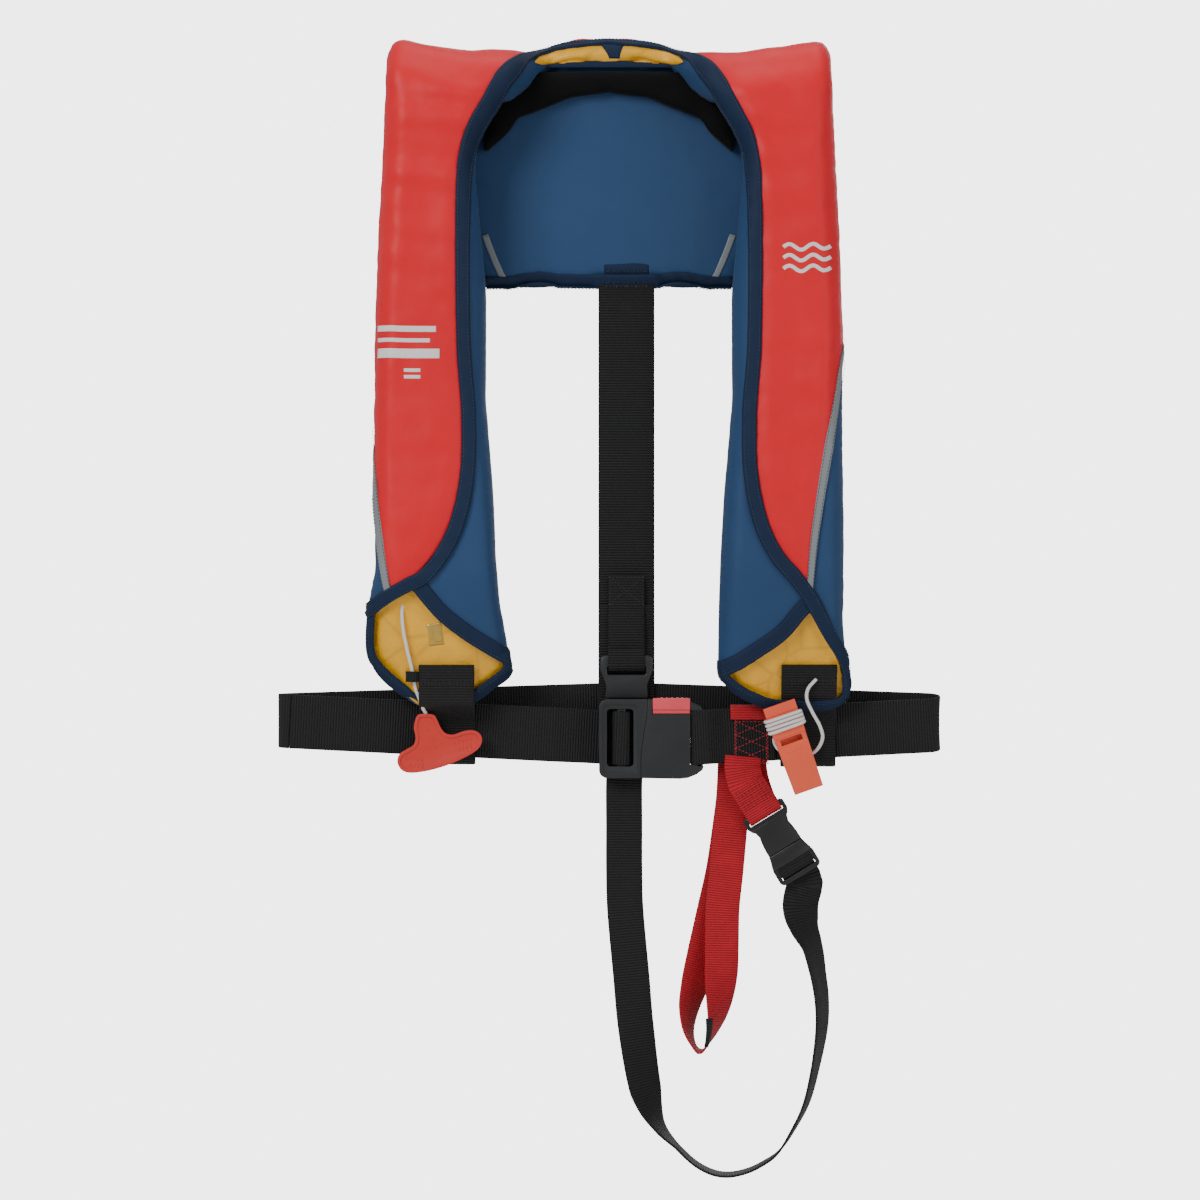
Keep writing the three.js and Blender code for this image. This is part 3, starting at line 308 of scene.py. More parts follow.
paints = {
    "red": clothPaint("redCoverCloth", (0.78, 0.011, 0.022), rough=0.46, fade=0.07, creases=0.85),
    "blue": clothPaint("blueLiningCloth", (0.021, 0.062, 0.155), rough=0.6, fade=0.16),
    "navy": clothPaint("navyBindingTape", (0.0055, 0.018, 0.052), weave=1.4, rough=0.68, fade=0.15,
                       creases=0.35),
    "pad": clothPaint("blackPadMesh", (0.0035, 0.0035, 0.004), weave=2.2, rough=0.8, fade=0.2, shine=0.12),
    "grey": clothPaint("reflectiveTape", (0.23, 0.25, 0.26), weave=1.1, rough=0.32, sheen=0.0, fade=0.1,
                       creases=0.2),
    "yellow": coatedFilmPaint("yellowBladderFilm", (0.88, 0.43, 0.006)),
    # the black webbing's grooves are painted almost black: painted shade
    "blackWebbing": webbingPaint("blackWebbing", (0.0105, 0.0105, 0.0115), grooveShade=0.07, edge=2.2),
    "redWebbing": webbingPaint("redWebbing", (0.56, 0.010, 0.022), rib=2.0),
    "redThread": threadPaint("redThread", (0.55, 0.012, 0.03)),
    "blackThread": threadPaint("blackThread", (0.02, 0.02, 0.024)),
    "navyThread": threadPaint("navyThread", (0.012, 0.035, 0.085)),
    "wineThread": threadPaint("wineThread", (0.16, 0.004, 0.01)),
    "cord": cordPaint("whiteBraid", (0.88, 0.87, 0.83)),
    "darkPlastic": plasticPaint("darkBucklePlastic", (0.017, 0.018, 0.020), rough=0.38),
    "blackPlastic": plasticPaint("blackClipPlastic", (0.012, 0.012, 0.013), rough=0.38),
    "redPlastic": plasticPaint("redButtonPlastic", (0.80, 0.075, 0.095), rough=0.36, coat=0.2),
    "handlePlastic": plasticPaint("redHandlePlastic", (0.66, 0.034, 0.022), rough=0.4, coat=0.15),
    "orangePlastic": plasticPaint("orangeWhistlePlastic", (0.87, 0.105, 0.045), rough=0.36, coat=0.2),
    "rubber": plasticPaint("blackTubeRubber", (0.014, 0.014, 0.015), rough=0.7, grain=0.4),
    "floor": plasticPaint("paleFloor", (0.86, 0.86, 0.85), rough=0.8, grain=0.1, speck=60.0),
    "steel": steelPaint("platedSteel", (0.56, 0.57, 0.58)),
    "white": clothPaint("whitePrint", (0.82, 0.80, 0.78), rough=0.5, fade=0.05, creases=0.2),
    "clear": plasticPaint("clearPocketFilm", (0.50, 0.30, 0.03), rough=0.12, coat=0.8, grain=0.1),
    "window": plasticPaint("greenWindow", (0.03, 0.16, 0.075), rough=0.2, coat=0.4),
}
print("materials made")


# ---- mesh helpers
def newPiece(name, points, faces, paint, uvs=None, smooth=True):
    mesh = bpy.data.meshes.new(name)
    mesh.from_pydata([tuple(p) for p in points], [], faces)
    mesh.materials.append(paints[paint])
    if uvs is not None:
        layer = mesh.uv_layers.new(name="UVMap")
        for loop in mesh.loops:
            layer.data[loop.index].uv = uvs[loop.vertex_index]
    for face in mesh.polygons:
        face.use_smooth = smooth
    mesh.update()
    piece = bpy.data.objects.new(name, mesh)
    bpy.context.scene.collection.objects.link(piece)
    return piece


def declare(piece, body, slotName, *nodes):
    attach(piece, body)
    if nodes:
        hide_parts(*nodes)
    return piece


def baked(piece):
    # applies every modifier and leaves a plain mesh
    graph = bpy.context.evaluated_depsgraph_get()
    mesh = bpy.data.meshes.new_from_object(piece.evaluated_get(graph))
    old = piece.data
    piece.modifiers.clear()
    piece.data = mesh
    bpy.data.meshes.remove(old)
    return piece


def splineAt(p0, p1, p2, p3, t):
    # the point at t, from 0 to 1, on the smooth curve between p1 and p2
    return 0.5 * ((2 * p1) + (p2 - p0) * t + (2 * p0 - 5 * p1 + 4 * p2 - p3) * t * t
                  + (3 * p1 - p0 - 3 * p2 + p3) * t ** 3)


def catmull(points, count):
    # evenly spaced points on one smooth curve through the given ones
    points = [Vector(p) for p in points]
    spans = len(points) - 1
    fine = []
    for i in range(spans):
        around = [points[k] for k in (max(i - 1, 0), i, i + 1, min(i + 2, spans))]
        fine += [splineAt(*around, k / 12) for k in range(12)]
    fine.append(points[-1])
    return resample(fine, count)


def resample(points, count):
    lengths = [0.0]
    for a, b in zip(points, points[1:]):
        lengths.append(lengths[-1] + (b - a).length)
    even = []
    spot = 0
    for i in range(count):
        goal = lengths[-1] * i / (count - 1)
        while spot < len(points) - 2 and lengths[spot + 1] < goal:
            spot += 1
        span = max(lengths[spot + 1] - lengths[spot], 1e-9)
        even.append(points[spot].lerp(points[spot + 1], min(1, max(0, (goal - lengths[spot]) / span))))
    return even


def wayAlong(line, i):
    return (line[min(i + 1, len(line) - 1)] - line[max(i - 1, 0)]).normalized()


def tubeSides(rows, ring):
    # the faces between one ring of points and the next
    faces = []
    for i in range(rows - 1):
        for k in range(ring):
            a = i * ring + k
            b = i * ring + (k + 1) % ring
            faces.append((a, b, b + ring, a + ring))
    return faces


def pathLength(points):
    return sum((b - a).length for a, b in zip(points, points[1:]))


def smoothStep(value, low, high):
    part = min(1, max(0, (value - low) / (high - low)))
    return part * part * (3 - 2 * part)


def mix(a, b, part):
    return a + (b - a) * part


# ---- the jacket's own surface: x across, and t up the front, over the shoulder fold and down the back
jacket = {
    "foldRadius": 42.0, "collarRadius": 14.0, "foldTop": 11.0, "collarTop": 25.0, "backY": 38.0,
    "yokeDepth": 12.0, "footStart": -435.0, "footTaper": 30.0, "footLength": 111.0,
    "roundEdge": 17.0, "recess": 7.0, "pressure": 4.0, "swell": 5.0, "slack": -0.012,
    "spread": 0.2, "grid": 5.0, "fill": 0.35,
}
inflatorBulge = {"x": -148, "t": -520, "height": 8.4, "narrow": 0.55, "spread": 980}


def foldAt(x):
    radius = mix(jacket["collarRadius"], jacket["foldRadius"], smoothStep(abs(x), 45, 88))
    top = mix(jacket["collarTop"], jacket["foldTop"], smoothStep(abs(x), 20, 75))
    return radius, top - radius


def front(x, z):
    radius, low = foldAt(x)
    if z <= low:
        return (x, z - low)
    return (x, 100 * math.asin(min(1, (z - low) / radius)) / math.pi)


def back(x, z):
    radius, low = foldAt(x)
    if z <= low:
        return (x, 100 + low - z)
    return (x, 100 - 100 * math.asin(min(1, (z - low) / radius)) / math.pi)


def mirroredX(points):
    return [(-x, t) for x, t in points]


def softened(points, cut=5.0, rounds=2):
    for _ in range(rounds):
        eased = []
        for i, here in enumerate(points):
            here = Vector(here)
            ahead = Vector(points[(i + 1) % len(points)])
            reach = (ahead - here).length
            if reach < 0.5:
                eased.append(tuple(here))
                continue
            part = min(0.25, cut / reach)
            eased.append(tuple(here.lerp(ahead, part)))
            eased.append(tuple(here.lerp(ahead, 1 - part)))
        points = eased
        cut /= 2
    return points


# the outline of a lobe seen from the front, in mm: its neck side, its foot and its outer side
neckSide = [
    (46, 5), (62, 1), (76, -7), (92, -33), (108, -73), (110, -95), (101, -200), (100, -290), (95, -370),
    (93, -420),
]
outerSide = [(200, -430), (200, -370), (199, -240), (196, -150), (190, -40)]
feet = {
    "right": [(92, -465), (92, -508), (92, -522), (104, -534), (122, -544), (142, -550), (186, -551),
              (200, -545), (205, -528), (202, -508), (200, -475)],
    "left": [(90, -460), (84, -504), (80, -517), (98, -533), (112, -543), (122, -547), (160, -547),
             (175, -537), (191, -525), (204, -510), (207, -492), (205, -468)],
}
yokeBack = [(188, 11), (188, -20), (172, -60), (114, -194)] + [(x, -194) for x in range(108, 1, -6)]


def lobeEdge(name):
    edge = neckSide + feet[name] + outerSide
    return [front(*p) for p in edge] + [back(*p) for p in yokeBack]


wholeEdge = softened([front(0, 2)] + lobeEdge("right") + [back(0, -194)] + mirroredX(lobeEdge("left"))[::-1])


def shrunk(outline, by):
    count = len(outline)
    area = sum(outline[i][0] * outline[(i + 1) % count][1] - outline[(i + 1) % count][0] * outline[i][1]
               for i in range(count))
    turn = 1 if area > 0 else -1
    result = []
    for i in range(count):
        along = Vector(outline[(i + 1) % count]) - Vector(outline[i - 1])
        result.append(tuple(Vector(outline[i]) + Vector((-along.y, along.x)).normalized() * turn * by))
    return result


def denser(points, step, closed=True):
    result = []
    count = len(points) if closed else len(points) - 1
    for i in range(count):
        a = Vector(points[i])
        b = Vector(points[(i + 1) % len(points)])
        parts = max(1, round((b - a).length / step))
        result += [a.lerp(b, k / parts) for k in range(parts)]
    if not closed:
        result.append(Vector(points[-1]))
    return result


def nearTree(points):
    tree = KDTree(len(points))
    for i, p in enumerate(points):
        tree.insert((p[0], p[1], p[2] if len(p) > 2 else 0), i)
    tree.balance()
    return tree


edgeTree = nearTree(denser(wholeEdge, 0.6))


def insideOf(points, x, t):
    inside = False
    count = len(points)
    for i in range(count):
        ax, at = points[i][0], points[i][1]
        bx, bt = points[(i + 1) % count][0], points[(i + 1) % count][1]
        if (at > t) != (bt > t) and x < (bx - ax) * (t - at) / (bt - at) + ax:
            inside = not inside
    return inside


def edgeDistance(x, t):
    return edgeTree.find((x, t, 0))[2]


# the yellow bladder shows below the flaps, where the front is hollow
flapLine = {
    "right": [(168, -458), (159.6, -467), (145, -484), (125.5, -498), (108.4, -509), (94, -515.5)],
    "left": [(163, -441), (157.8, -447), (140, -467.5), (120.7, -483), (101, -496), (85, -506)],
}
coverTail = {
    "right": [(201, -543), (202.5, -528), (198, -507), (184, -482), (167, -456)],
    "left": [(205, -470), (196, -460), (184, -449), (166, -434)],
}
footRim = {"right": feet["right"][2:7], "left": feet["left"][2:11] + [(205, -472)]}
signs = {"right": 1, "left": -1}
showing = {}
showingTree = {}
for name, sign in signs.items():
    loop = flapLine[name] + footRim[name] + coverTail[name]
    showing[name] = [(sign * x, t) for x, t in (front(*p) for p in loop)]
    showingTree[name] = nearTree(denser(showing[name], 1.0))


def footDepth(x, t):
    name = "right" if x > 0 else "left"
    if not insideOf(showing[name], x, t):
        return 0.0
    hollow = smoothStep(showingTree[name].find((x, t, 0))[2], 0, 8) * jacket["recess"]
    if name == "left":  # the inflator fills the left foot
        across, up = x - inflatorBulge["x"], t - inflatorBulge["t"]
        reach = across * across + up * up * inflatorBulge["narrow"]
        hollow -= inflatorBulge["height"] * math.exp(-reach / inflatorBulge["spread"])
    return hollow


def shellPoint(x, t, side=1, inset=0.0):
    radius, low = foldAt(x)
    backY = jacket["backY"]
    if t <= 0:
        y, z, ny, nz = backY - 2 * radius, low + t, -1.0, 0.0
    elif t < 100:
        turn = math.pi * t / 100
        ny, nz = -math.cos(turn), math.sin(turn)
        y, z = backY - radius + ny * radius, low + nz * radius
    else:
        y, z, ny, nz = backY, low - (t - 100), 1.0, 0.0
    thick = jacket["yokeDepth"]
    wide, tight = jacket["foldRadius"], jacket["collarRadius"]
    frontDepth = thick + (wide - thick) * (radius - tight) / (wide - tight)
    depth = mix(frontDepth, thick, smoothStep(t, 0, 100))
    taper = 0.0
    if t < 0 and z < jacket["footStart"]:
        part = min(1, (jacket["footStart"] - z) / jacket["footLength"])
        taper = jacket["footTaper"] * part ** 1.2
    depth -= taper
    reach = min(mix(jacket["roundEdge"], 9, smoothStep(t, -60, 10)), depth * 0.8)
    gap = 1 - min(1, edgeDistance(x, t) / reach)
    half = depth / 2 * math.sqrt(1 - gap * gap)
    away = side * half - depth / 2 - taper - (inset if side > 0 else 0)
    return Vector((x, y + ny * away, z + nz * away))


swellTree = None
swellMoves = []


def swellAt(point):
    if swellTree is None:
        return Vector()
    total = Vector()
    weight = 0.0
    for _, index, distance in swellTree.find_n(point, 4):
        share = 1 / (distance + 0.5)
        total += swellMoves[index] * share
        weight += share
    return total / weight


def surfacePoint(x, t, height=0.0, side=1):
    here = shellPoint(x, t, side)
    step = 1.6
    across = shellPoint(x + step, t, side) - shellPoint(x - step, t, side)
    along = shellPoint(x, t + step, side) - shellPoint(x, t - step, side)
    normal = across.cross(along) * side
    if normal.length < 1e-6:
        normal = Vector((0, -1, 0))
    normal.normalize()
    return here + swellAt(here) + normal * height


def rimPoint(spot, height, side=1):
    # beyond the rim the tape turns round it to the other face
    if insideOf(wholeEdge, spot.x, spot.y):
        return surfacePoint(spot.x, spot.y, height, side)
    near = Vector(edgeTree.find((spot.x, spot.y, 0))[0])
    back = near + (near - Vector((spot.x, spot.y, 0)))
    return surfacePoint(back.x, back.y, height, -side)


def folds(x, t, amount):
    # soft creases that run mostly along the lobe, and across it at the shoulder
    long = noise(Vector((x * 0.030, t * 0.009, 3.1)))
    short = noise(Vector((x * 0.055, t * 0.05, 8.7)))
    cross = noise(Vector((x * 0.012 + t * 0.02, t * 0.055, 1.3)))
    shoulder = smoothStep(t, -190, -20) * (1 - smoothStep(t, 60, 130))
    return amount * (long * 0.9 + short * 0.35 + cross * (0.35 + 0.9 * shoulder))


def gridInside(outline, step):
    xs = [p[0] for p in outline]
    ts = [p[1] for p in outline]
    result = []
    row = 0
    t = min(ts) + step * 0.5
    while t < max(ts):
        x = min(xs) + (step / 2 if row % 2 else step * 0.1)
        while x < max(xs):
            if insideOf(outline, x, t):
                result.append(Vector((x, t)))
            x += step
        t += step * 0.866
        row += 1
    return result


def triangulated(outline, step, ring=0.0):
    border = denser(outline, step * 0.8)
    count = len(border)
    points = list(border)
    if ring:
        area = sum(a.x * b.y - b.x * a.y for a, b in zip(border, border[1:] + border[:1]))
        turn = 1 if area > 0 else -1
        for i in range(count):
            along = border[(i + 1) % count] - border[i - 1]
            normal = Vector((-along.y, along.x)).normalized() * turn
            inner = border[i] + normal * ring
            if insideOf(outline, inner.x, inner.y):
                points.append(inner)
    tree = nearTree(points)
    points += [p for p in gridInside(outline, step) if tree.find((p.x, p.y, 0))[2] > step * 0.6]
    edges = [(i, (i + 1) % count) for i in range(count)]
    verts, _, faces, *_ = delaunay_2d_cdt(points, edges, [], 1, 1e-4)
    return verts, faces, border


def closedShell(name, outline, top, bottom, paint, step=4.0, ring=1.1):
    # two skins over one outline, joined round the rim: top and bottom give a point for (x, t)
    verts, faces, border = triangulated(outline, step, ring)
    rim = nearTree(border)
    count = len(verts)
    points = []
    onRim = []
    for v in verts:
        onRim.append(rim.find((v.x, v.y, 0))[2] < 0.02)
        points.append(top(v.x, v.y, onRim[-1]) * mm)
    lower = []
    for v, rimmed in zip(verts, onRim):
        lower.append(len(points))
        points.append(bottom(v.x, v.y, rimmed) * mm)
    built = []
    used = {}  # the edges of the top skin, in their order round each face
    for a, b, c in faces:
        turn = (verts[b] - verts[a]).cross(verts[c] - verts[a])
        if turn < 0:
            a, c = c, a
        built.append((a, b, c))
        built.append((lower[c], lower[b], lower[a]))
        for p, q in ((a, b), (b, c), (c, a)):
            used[(p, q)] = True
    for p, q in used:
        if (q, p) not in used:
            built.append((p, lower[p], lower[q], q))
    return newPiece(name, points, built, paint)


def turnedOut(piece):
    work = bmesh.new()
    work.from_mesh(piece.data)
    bmesh.ops.remove_doubles(work, verts=work.verts, dist=1e-6)
    bmesh.ops.recalc_face_normals(work, faces=work.faces)
    if work.calc_volume(signed=True) < 0:
        bmesh.ops.reverse_faces(work, faces=work.faces)
    work.to_mesh(piece.data)
    work.free()
    return piece


def panel(name, outline, paint, low, high, step=4.0, wrinkle=0.0, bulge=0.0, side=1):
    own = nearTree(denser(outline, 1.0))

    def top(x, t, rim):
        near = own.find((x, t, 0))[2]
        rise = mix(low, high, 0.45) if rim else high
        soft = smoothStep(near, 0, 14)
        pucker = noise(Vector((x * 0.13, t * 0.13, 5.5))) * 0.9 * math.exp(-near / 7) * (wrinkle > 0)
        return surfacePoint(x, t, rise + soft * (bulge + folds(x, t, wrinkle)) + (0 if rim else pucker), side)

    def bottom(x, t, rim):
        return surfacePoint(x, t, low, side)

    return turnedOut(closedShell(name, outline, top, bottom, paint, step))


# a flat tape laid on the jacket along a path, folded over its edge, with its own length along v
def tape(name, path, width, paint, low=0.3, high=2.4, side=1, step=3.0, wave=0.35, ends=(1, 1), lift=None):
    flat = [Vector((x, t, 0)) for x, t in path]
    line = catmull(flat, max(8, int(pathLength(flat) / step)))
    across = [-1, -0.93, -0.6, 0, 0.6, 0.93, 1]
    points = []
    uvs = []
    rows = len(line)
    run = 0.0
    for i, here in enumerate(line):
        along = wayAlong(line, i)
        sideways = Vector((along.y, -along.x, 0))
        if i:
            run += (here - line[i - 1]).length
        taper = mix(ends[0], 1, min(1, i * step / 90)) * mix(ends[1], 1, min(1, (rows - 1 - i) * step / 90))
        for k in across:
            spot = here + sideways * (k * width / 2 * taper)
            crown = (high - low) * (0.35 if abs(k) == 1 else 0.85 if abs(k) > 0.9 else 1.0 - 0.12 * (k == 0))
            ripple = wave * noise(Vector((spot.x * 0.11, spot.y * 0.11, 2.2)))
            raised = lift(spot.x, spot.y) if lift else 0
            points.append(rimPoint(spot, low + crown + ripple + raised, side) * mm)
            uvs.append(((k * width / 2 + width / 2) * mm, run * mm))
        for k in (1, -1):
            spot = here + sideways * (k * width / 2 * 0.98 * taper)
            raised = lift(spot.x, spot.y) if lift else 0
            points.append(rimPoint(spot, low - 0.6 + raised, side) * mm)
            uvs.append(((k * width / 2 + width / 2) * mm, run * mm))
    ring = len(across) + 2
    faces = tubeSides(rows, ring)
    faces.append(tuple(range(ring))[::-1])
    faces.append(tuple((rows - 1) * ring + k for k in range(ring)))
    return turnedOut(newPiece(name, points, faces, paint, uvs))


def joined(name, pieces):
    target = pieces[0]
    work = bmesh.new()
    for piece in pieces:
        work.from_mesh(piece.data)
    work.to_mesh(target.data)
    work.free()
    for piece in pieces[1:]:
        bpy.data.objects.remove(piece)
    target.name = name
    target.data.name = name
    return target


# the closed body that the covers lie on: blue lining outside, hollow at each foot
def makeBody():
    def top(x, t, rim):
        return shellPoint(x, t, 1, footDepth(x, t))

    def bottom(x, t, rim):
        return shellPoint(x, t, 1 if rim else -1)

    return turnedOut(closedShell("liningBody", wholeEdge, top, bottom, "blue", jacket["grid"], 1.6))


def inflate(piece, pressure, cap, frames=20, stiffness=12.0, shrink=0.0, across=1.0):
    # swells a closed mesh with cloth pressure, then limits how far each point may go
    before = [v.co.copy() for v in piece.data.vertices]
    cloth = piece.modifiers.new("swell", "CLOTH")
    settings = cloth.settings
    settings.quality = 5
    settings.mass = 0.25
    settings.tension_stiffness = stiffness
    settings.compression_stiffness = stiffness
    settings.shear_stiffness = stiffness / 2
    settings.bending_stiffness = 0.4
    settings.use_pressure = True
    settings.uniform_pressure_force = pressure
    settings.shrink_min = shrink
    settings.effector_weights.gravity = 0
    cloth.collision_settings.use_collision = False
    scene = bpy.context.scene
    cloth.point_cache.frame_start = 1
    cloth.point_cache.frame_end = frames
    for number in range(1, frames + 1):
        scene.frame_set(number)
    graph = bpy.context.evaluated_depsgraph_get()
    swollen = [v.co.copy() for v in piece.evaluated_get(graph).data.vertices]
    piece.modifiers.clear()
    scene.frame_set(1)
    moves = []
    for old, new in zip(before, swollen):
        move = new - old
        move.x *= across
        if move.length > cap:
            move = move.normalized() * cap
        moves.append(move)
    for v, move in zip(piece.data.vertices, moves):
        v.co += move
    piece.data.update()
    return before, moves


liningBody = makeBody()
restPoints, bodyMoves = inflate(liningBody, jacket["pressure"], jacket["swell"] * mm,
                                shrink=jacket["slack"], across=jacket["spread"])
swellMoves = [move * 1000 for move in bodyMoves]
swellTree = nearTree([p * 1000 for p in restPoints])
declare(liningBody, "jacket", "blue_fabric", "lining_right", "lining_left", "back_lining",
        "side_gusset_right", "side_gusset_left")
print("jacket body made")

# ---- red cover, one sheet from foot to foot over the yoke
cover = {"low": 0.4, "high": 1.7, "step": 4.0, "wrinkle": 2.2, "bulge": 2.0, "corner": 4.0}
coverFree = [
    (171, -447), (158, -432), (143, -414), (130, -388), (121, -350), (120, -300), (124, -240),
    (124.5, -130), (119, -75), (100, -27), (81, 0), (68, 10), (52, 17), (25, 23.5),
]
coverSide = {
    "right": [(168.5, -449), (172, -406), (176, -380), (183, -340), (190, -296), (196, -252), (199.3, -240),
              (196, -150), (190, -40)],
    "left": [(186, -449), (189.5, -423), (195, -380), (199, -340), (199.8, -300), (199.3, -240), (196, -150),
             (190, -40)],
}


def coverHalf(name):
    outline = [front(*p) for p in coverFree[::-1]] + [front(*p) for p in coverSide[name]]
    return outline + [back(*p) for p in yokeBack]


coverEdge = [front(0, 25)] + coverHalf("right") + [back(0, -194)] + mirroredX(coverHalf("left"))[::-1]
redCover = panel("redCover", softened(coverEdge, cover["corner"]), "red", cover["low"], cover["high"],
                 step=cover["step"], wrinkle=cover["wrinkle"], bulge=cover["bulge"])
declare(redCover, "jacket", "red_fabric", "front_cover_right", "front_cover_left", "back_cover")

# ---- side gussets are part of the blue body; a reflective strip marks each seam
strip = {"width": 8, "low": 1.2, "high": 3.0, "wave": 0.15, "ends": (0.12, 0.7), "inside": 5.5}
stripLine = {
    "right": [(199.5, -240), (198, -247), (195, -262), (189.5, -300), (182.5, -340), (176, -380),
              (171.5, -412), (168.5, -447)],
    "left": [(202, -312), (201, -318), (199, -345), (195, -385), (190, -423), (186, -449)],
}


def bound(name, path, kind, **more):
    width, low, high = binding[kind]
    return tape(name, path, width, "navy", low, high, **more)


def bothSides(name, make):
    return joined(name, [make(name + side.capitalize(), side, sign) for side, sign in signs.items()])


def sided(points, sign):
    return [(sign * x, t) for x, t in points]


def onFront(points):
    return [front(*p) for p in points]


strips = bothSides("reflectiveStrips", lambda name, side, sign: tape(
    name, sided(onFront(stripLine[side]), sign), strip["width"], "grey", strip["low"], strip["high"],
    wave=strip["wave"], ends=strip["ends"]))
innerLine = [back(106, -146), back(101, -160), back(95, -175), back(89, -189)]
innerStrips = joined("innerStrips", [tape(
    "innerStrip%d" % sign, sided(innerLine, sign), strip["inside"], "grey", 0.3, 1.0, side=-1, wave=0.1)
    for sign in (1, -1)])
declare(innerStrips, "jacket", "reflective")
declare(strips, "jacket", "reflective", "reflective_strip_right", "reflective_strip_left")

# ---- bindings: width, then the height of their underside and top over the jacket
binding = {
    "cover": (13, 0.6, 4.2), "flap": (13, 0.2, 2.6), "foot": (10.5, 0.5, 2.8),
    "hemFront": (12.5, 0.2, 1.8), "hemBack": (12, 2.2, 4.4),
}
freeLine = [
    (156, -437.5), (140.5, -419.5), (127, -391.5), (118.5, -350), (117.5, -300), (121.5, -240), (122, -130),
    (117, -77.5), (98, -28.5), (80, -1), (66, 9), (48, 16), (25, 20.5),
]
tails = {
    "right": [(202, -542), (202.5, -528), (198, -508), (184, -482), (170, -456)],
    "left": [(204, -469), (196, -461.5), (184, -452), (170, -444)],
}
bindingPath = (onFront(tails["right"] + freeLine) + [front(0, 22.3)]
               + mirroredX(onFront(tails["left"] + freeLine))[::-1])
coverBinding = bound("coverBinding", bindingPath, "cover", wave=0.6, ends=(0.5, 0.8))
declare(coverBinding, "jacket", "navy_binding", "cover_binding_right", "cover_binding_left", "collar_binding")
flapBindings = bothSides("flapBindings", lambda name, side, sign: bound(
    name, sided(onFront(flapLine[side]), sign), "flap", wave=0.5))
declare(flapBindings, "jacket", "navy_binding", "flap_binding_right", "flap_binding_left")
footLine = {
    "right": [(201.5, -520), (201, -540), (186, -546), (142, -545), (123, -539.5), (107, -531), (96, -521),
              (94, -508)],
    "left": [(202, -463), (203.5, -492), (200.5, -508), (189, -521), (174, -532.5), (160, -542), (122, -542),
             (113, -538), (100, -528.5), (85, -516), (86.5, -502)],
}
footBindings = bothSides("footBindings", lambda name, side, sign: bound(
    name, sided(onFront(footLine[side]), sign), "foot", wave=0.4))
declare(footBindings, "jacket", "navy_binding", "foot_binding_right", "foot_binding_left")
hemLine = [back(x, -189.6) for x in range(-106, 107, 4)]
strapX = 15  # the middle of the back strap, the slider and the crotch strap


def overStrap(x, _):
    # lifts the hem where it runs over the end of the back strap
    return 3.0 * smoothStep(32 - abs(x - strapX), 0, 9)


hemBinding = joined("hemBinding", [
    bound("hemFront", hemLine, "hemFront", side=-1, wave=0.15, lift=overStrap),
    bound("hemBack", hemLine, "hemBack", side=1, wave=0.15)])
declare(hemBinding, "jacket", "navy_binding", "hem_binding")


# ---- the yellow bladder where it shows
skin = {"rim": 0.9, "high": 2.4, "under": -0.4, "crease": 1.1, "inset": 3.6, "step": 3.5}


def footSkin(name, side, _):
    outline = shrunk(softened(showing[side], 3.0), skin["inset"])
    own = nearTree(denser(outline, 1.0))

    def top(x, t, rim):
        inside = own.find((x, t, 0))[2]
        rise = mix(skin["rim"], skin["high"], smoothStep(inside, 0, 7))
        crease = 0 if rim else folds(x, t, skin["crease"]) * smoothStep(inside, 2, 12)
        return surfacePoint(x, t, rise - footDepth(x, t) + crease)

    def bottom(x, t, rim):
        return surfacePoint(x, t, skin["under"] - footDepth(x, t))

    return turnedOut(closedShell(name, outline, top, bottom, "yellow", skin["step"]))


bladderFeet = bothSides("bladderFeet", footSkin)
collarOutline = [(-64, 4), (-40, 3), (0, 3), (40, 3), (64, 4), (56, 14), (30, 18.5), (0, 20), (-30, 18.5),
                 (-56, 14)]
collarSkin = panel("collarSkin", onFront(collarOutline), "yellow", 0.4, 1.2, step=2.5, wrinkle=1.6, bulge=0.8)
bladderSkin = joined("bladderSkin", [bladderFeet, collarSkin])
declare(bladderSkin, "jacket", "bladder_film", "bladder")
print("covers and bindings made")


# ---- webbing
level = Vector((1, 0, 0))
upright = Vector((0, 0, 1))


def rounded(points, cut=2.0, rounds=3, step=2.5):
    points = [Vector(p) for p in points]
    for _ in range(rounds):
        eased = [points[0]]
        for a, b in zip(points, points[1:]):
            reach = (b - a).length
            part = min(0.25, cut / max(reach, 0.01))
            eased += [a.lerp(b, part), a.lerp(b, 1 - part)]
        eased.append(points[-1])
        points = eased
        cut /= 2
    return resample(points, max(6, int(pathLength(points) / step)))


def webbing(name, line, width, paint, across=level, turns=None, thick=2.0, sway=0.0):
    # a woven band of even thickness along the line; u runs across it and v along it
    profile = [(-1, 0), (-0.985, 0.75), (-0.94, 1), (-0.5, 0.93), (0, 0.9), (0.5, 0.93), (0.94, 1),
               (0.985, 0.75), (1, 0), (0.985, -0.75), (0.94, -1), (0.5, -0.93), (0, -0.9), (-0.5, -0.93),
               (-0.94, -1), (-0.985, -0.75)]
    points = []
    uvs = []
    run = 0.0
    rows = len(line)
    for i, here in enumerate(line):
        along = wayAlong(line, i)
        if i:
            run += (here - line[i - 1]).length
        wide = across if turns is None else turns[i]
        wide = (wide - along * wide.dot(along)).normalized()
        through = wide.cross(along)
        wave = sway * noise(Vector((run * 0.018, 4.2, width)))
        for u, v in profile:
            edge = sway * 0.5 * u * noise(Vector((run * 0.025, 9.4, u)))
            lift = v * thick / 2 + wave + edge
            points.append((here + wide * (u * width / 2) + through * lift) * mm)
            uvs.append(((u + 1) * width / 2 * mm, run * mm))
    ring = len(profile)
    faces = tubeSides(rows, ring)
    faces.append(tuple(range(ring)))
    faces.append(tuple((rows - 1) * ring + k for k in range(ring))[::-1])
    return turnedOut(newPiece(name, points, faces, paint, uvs))


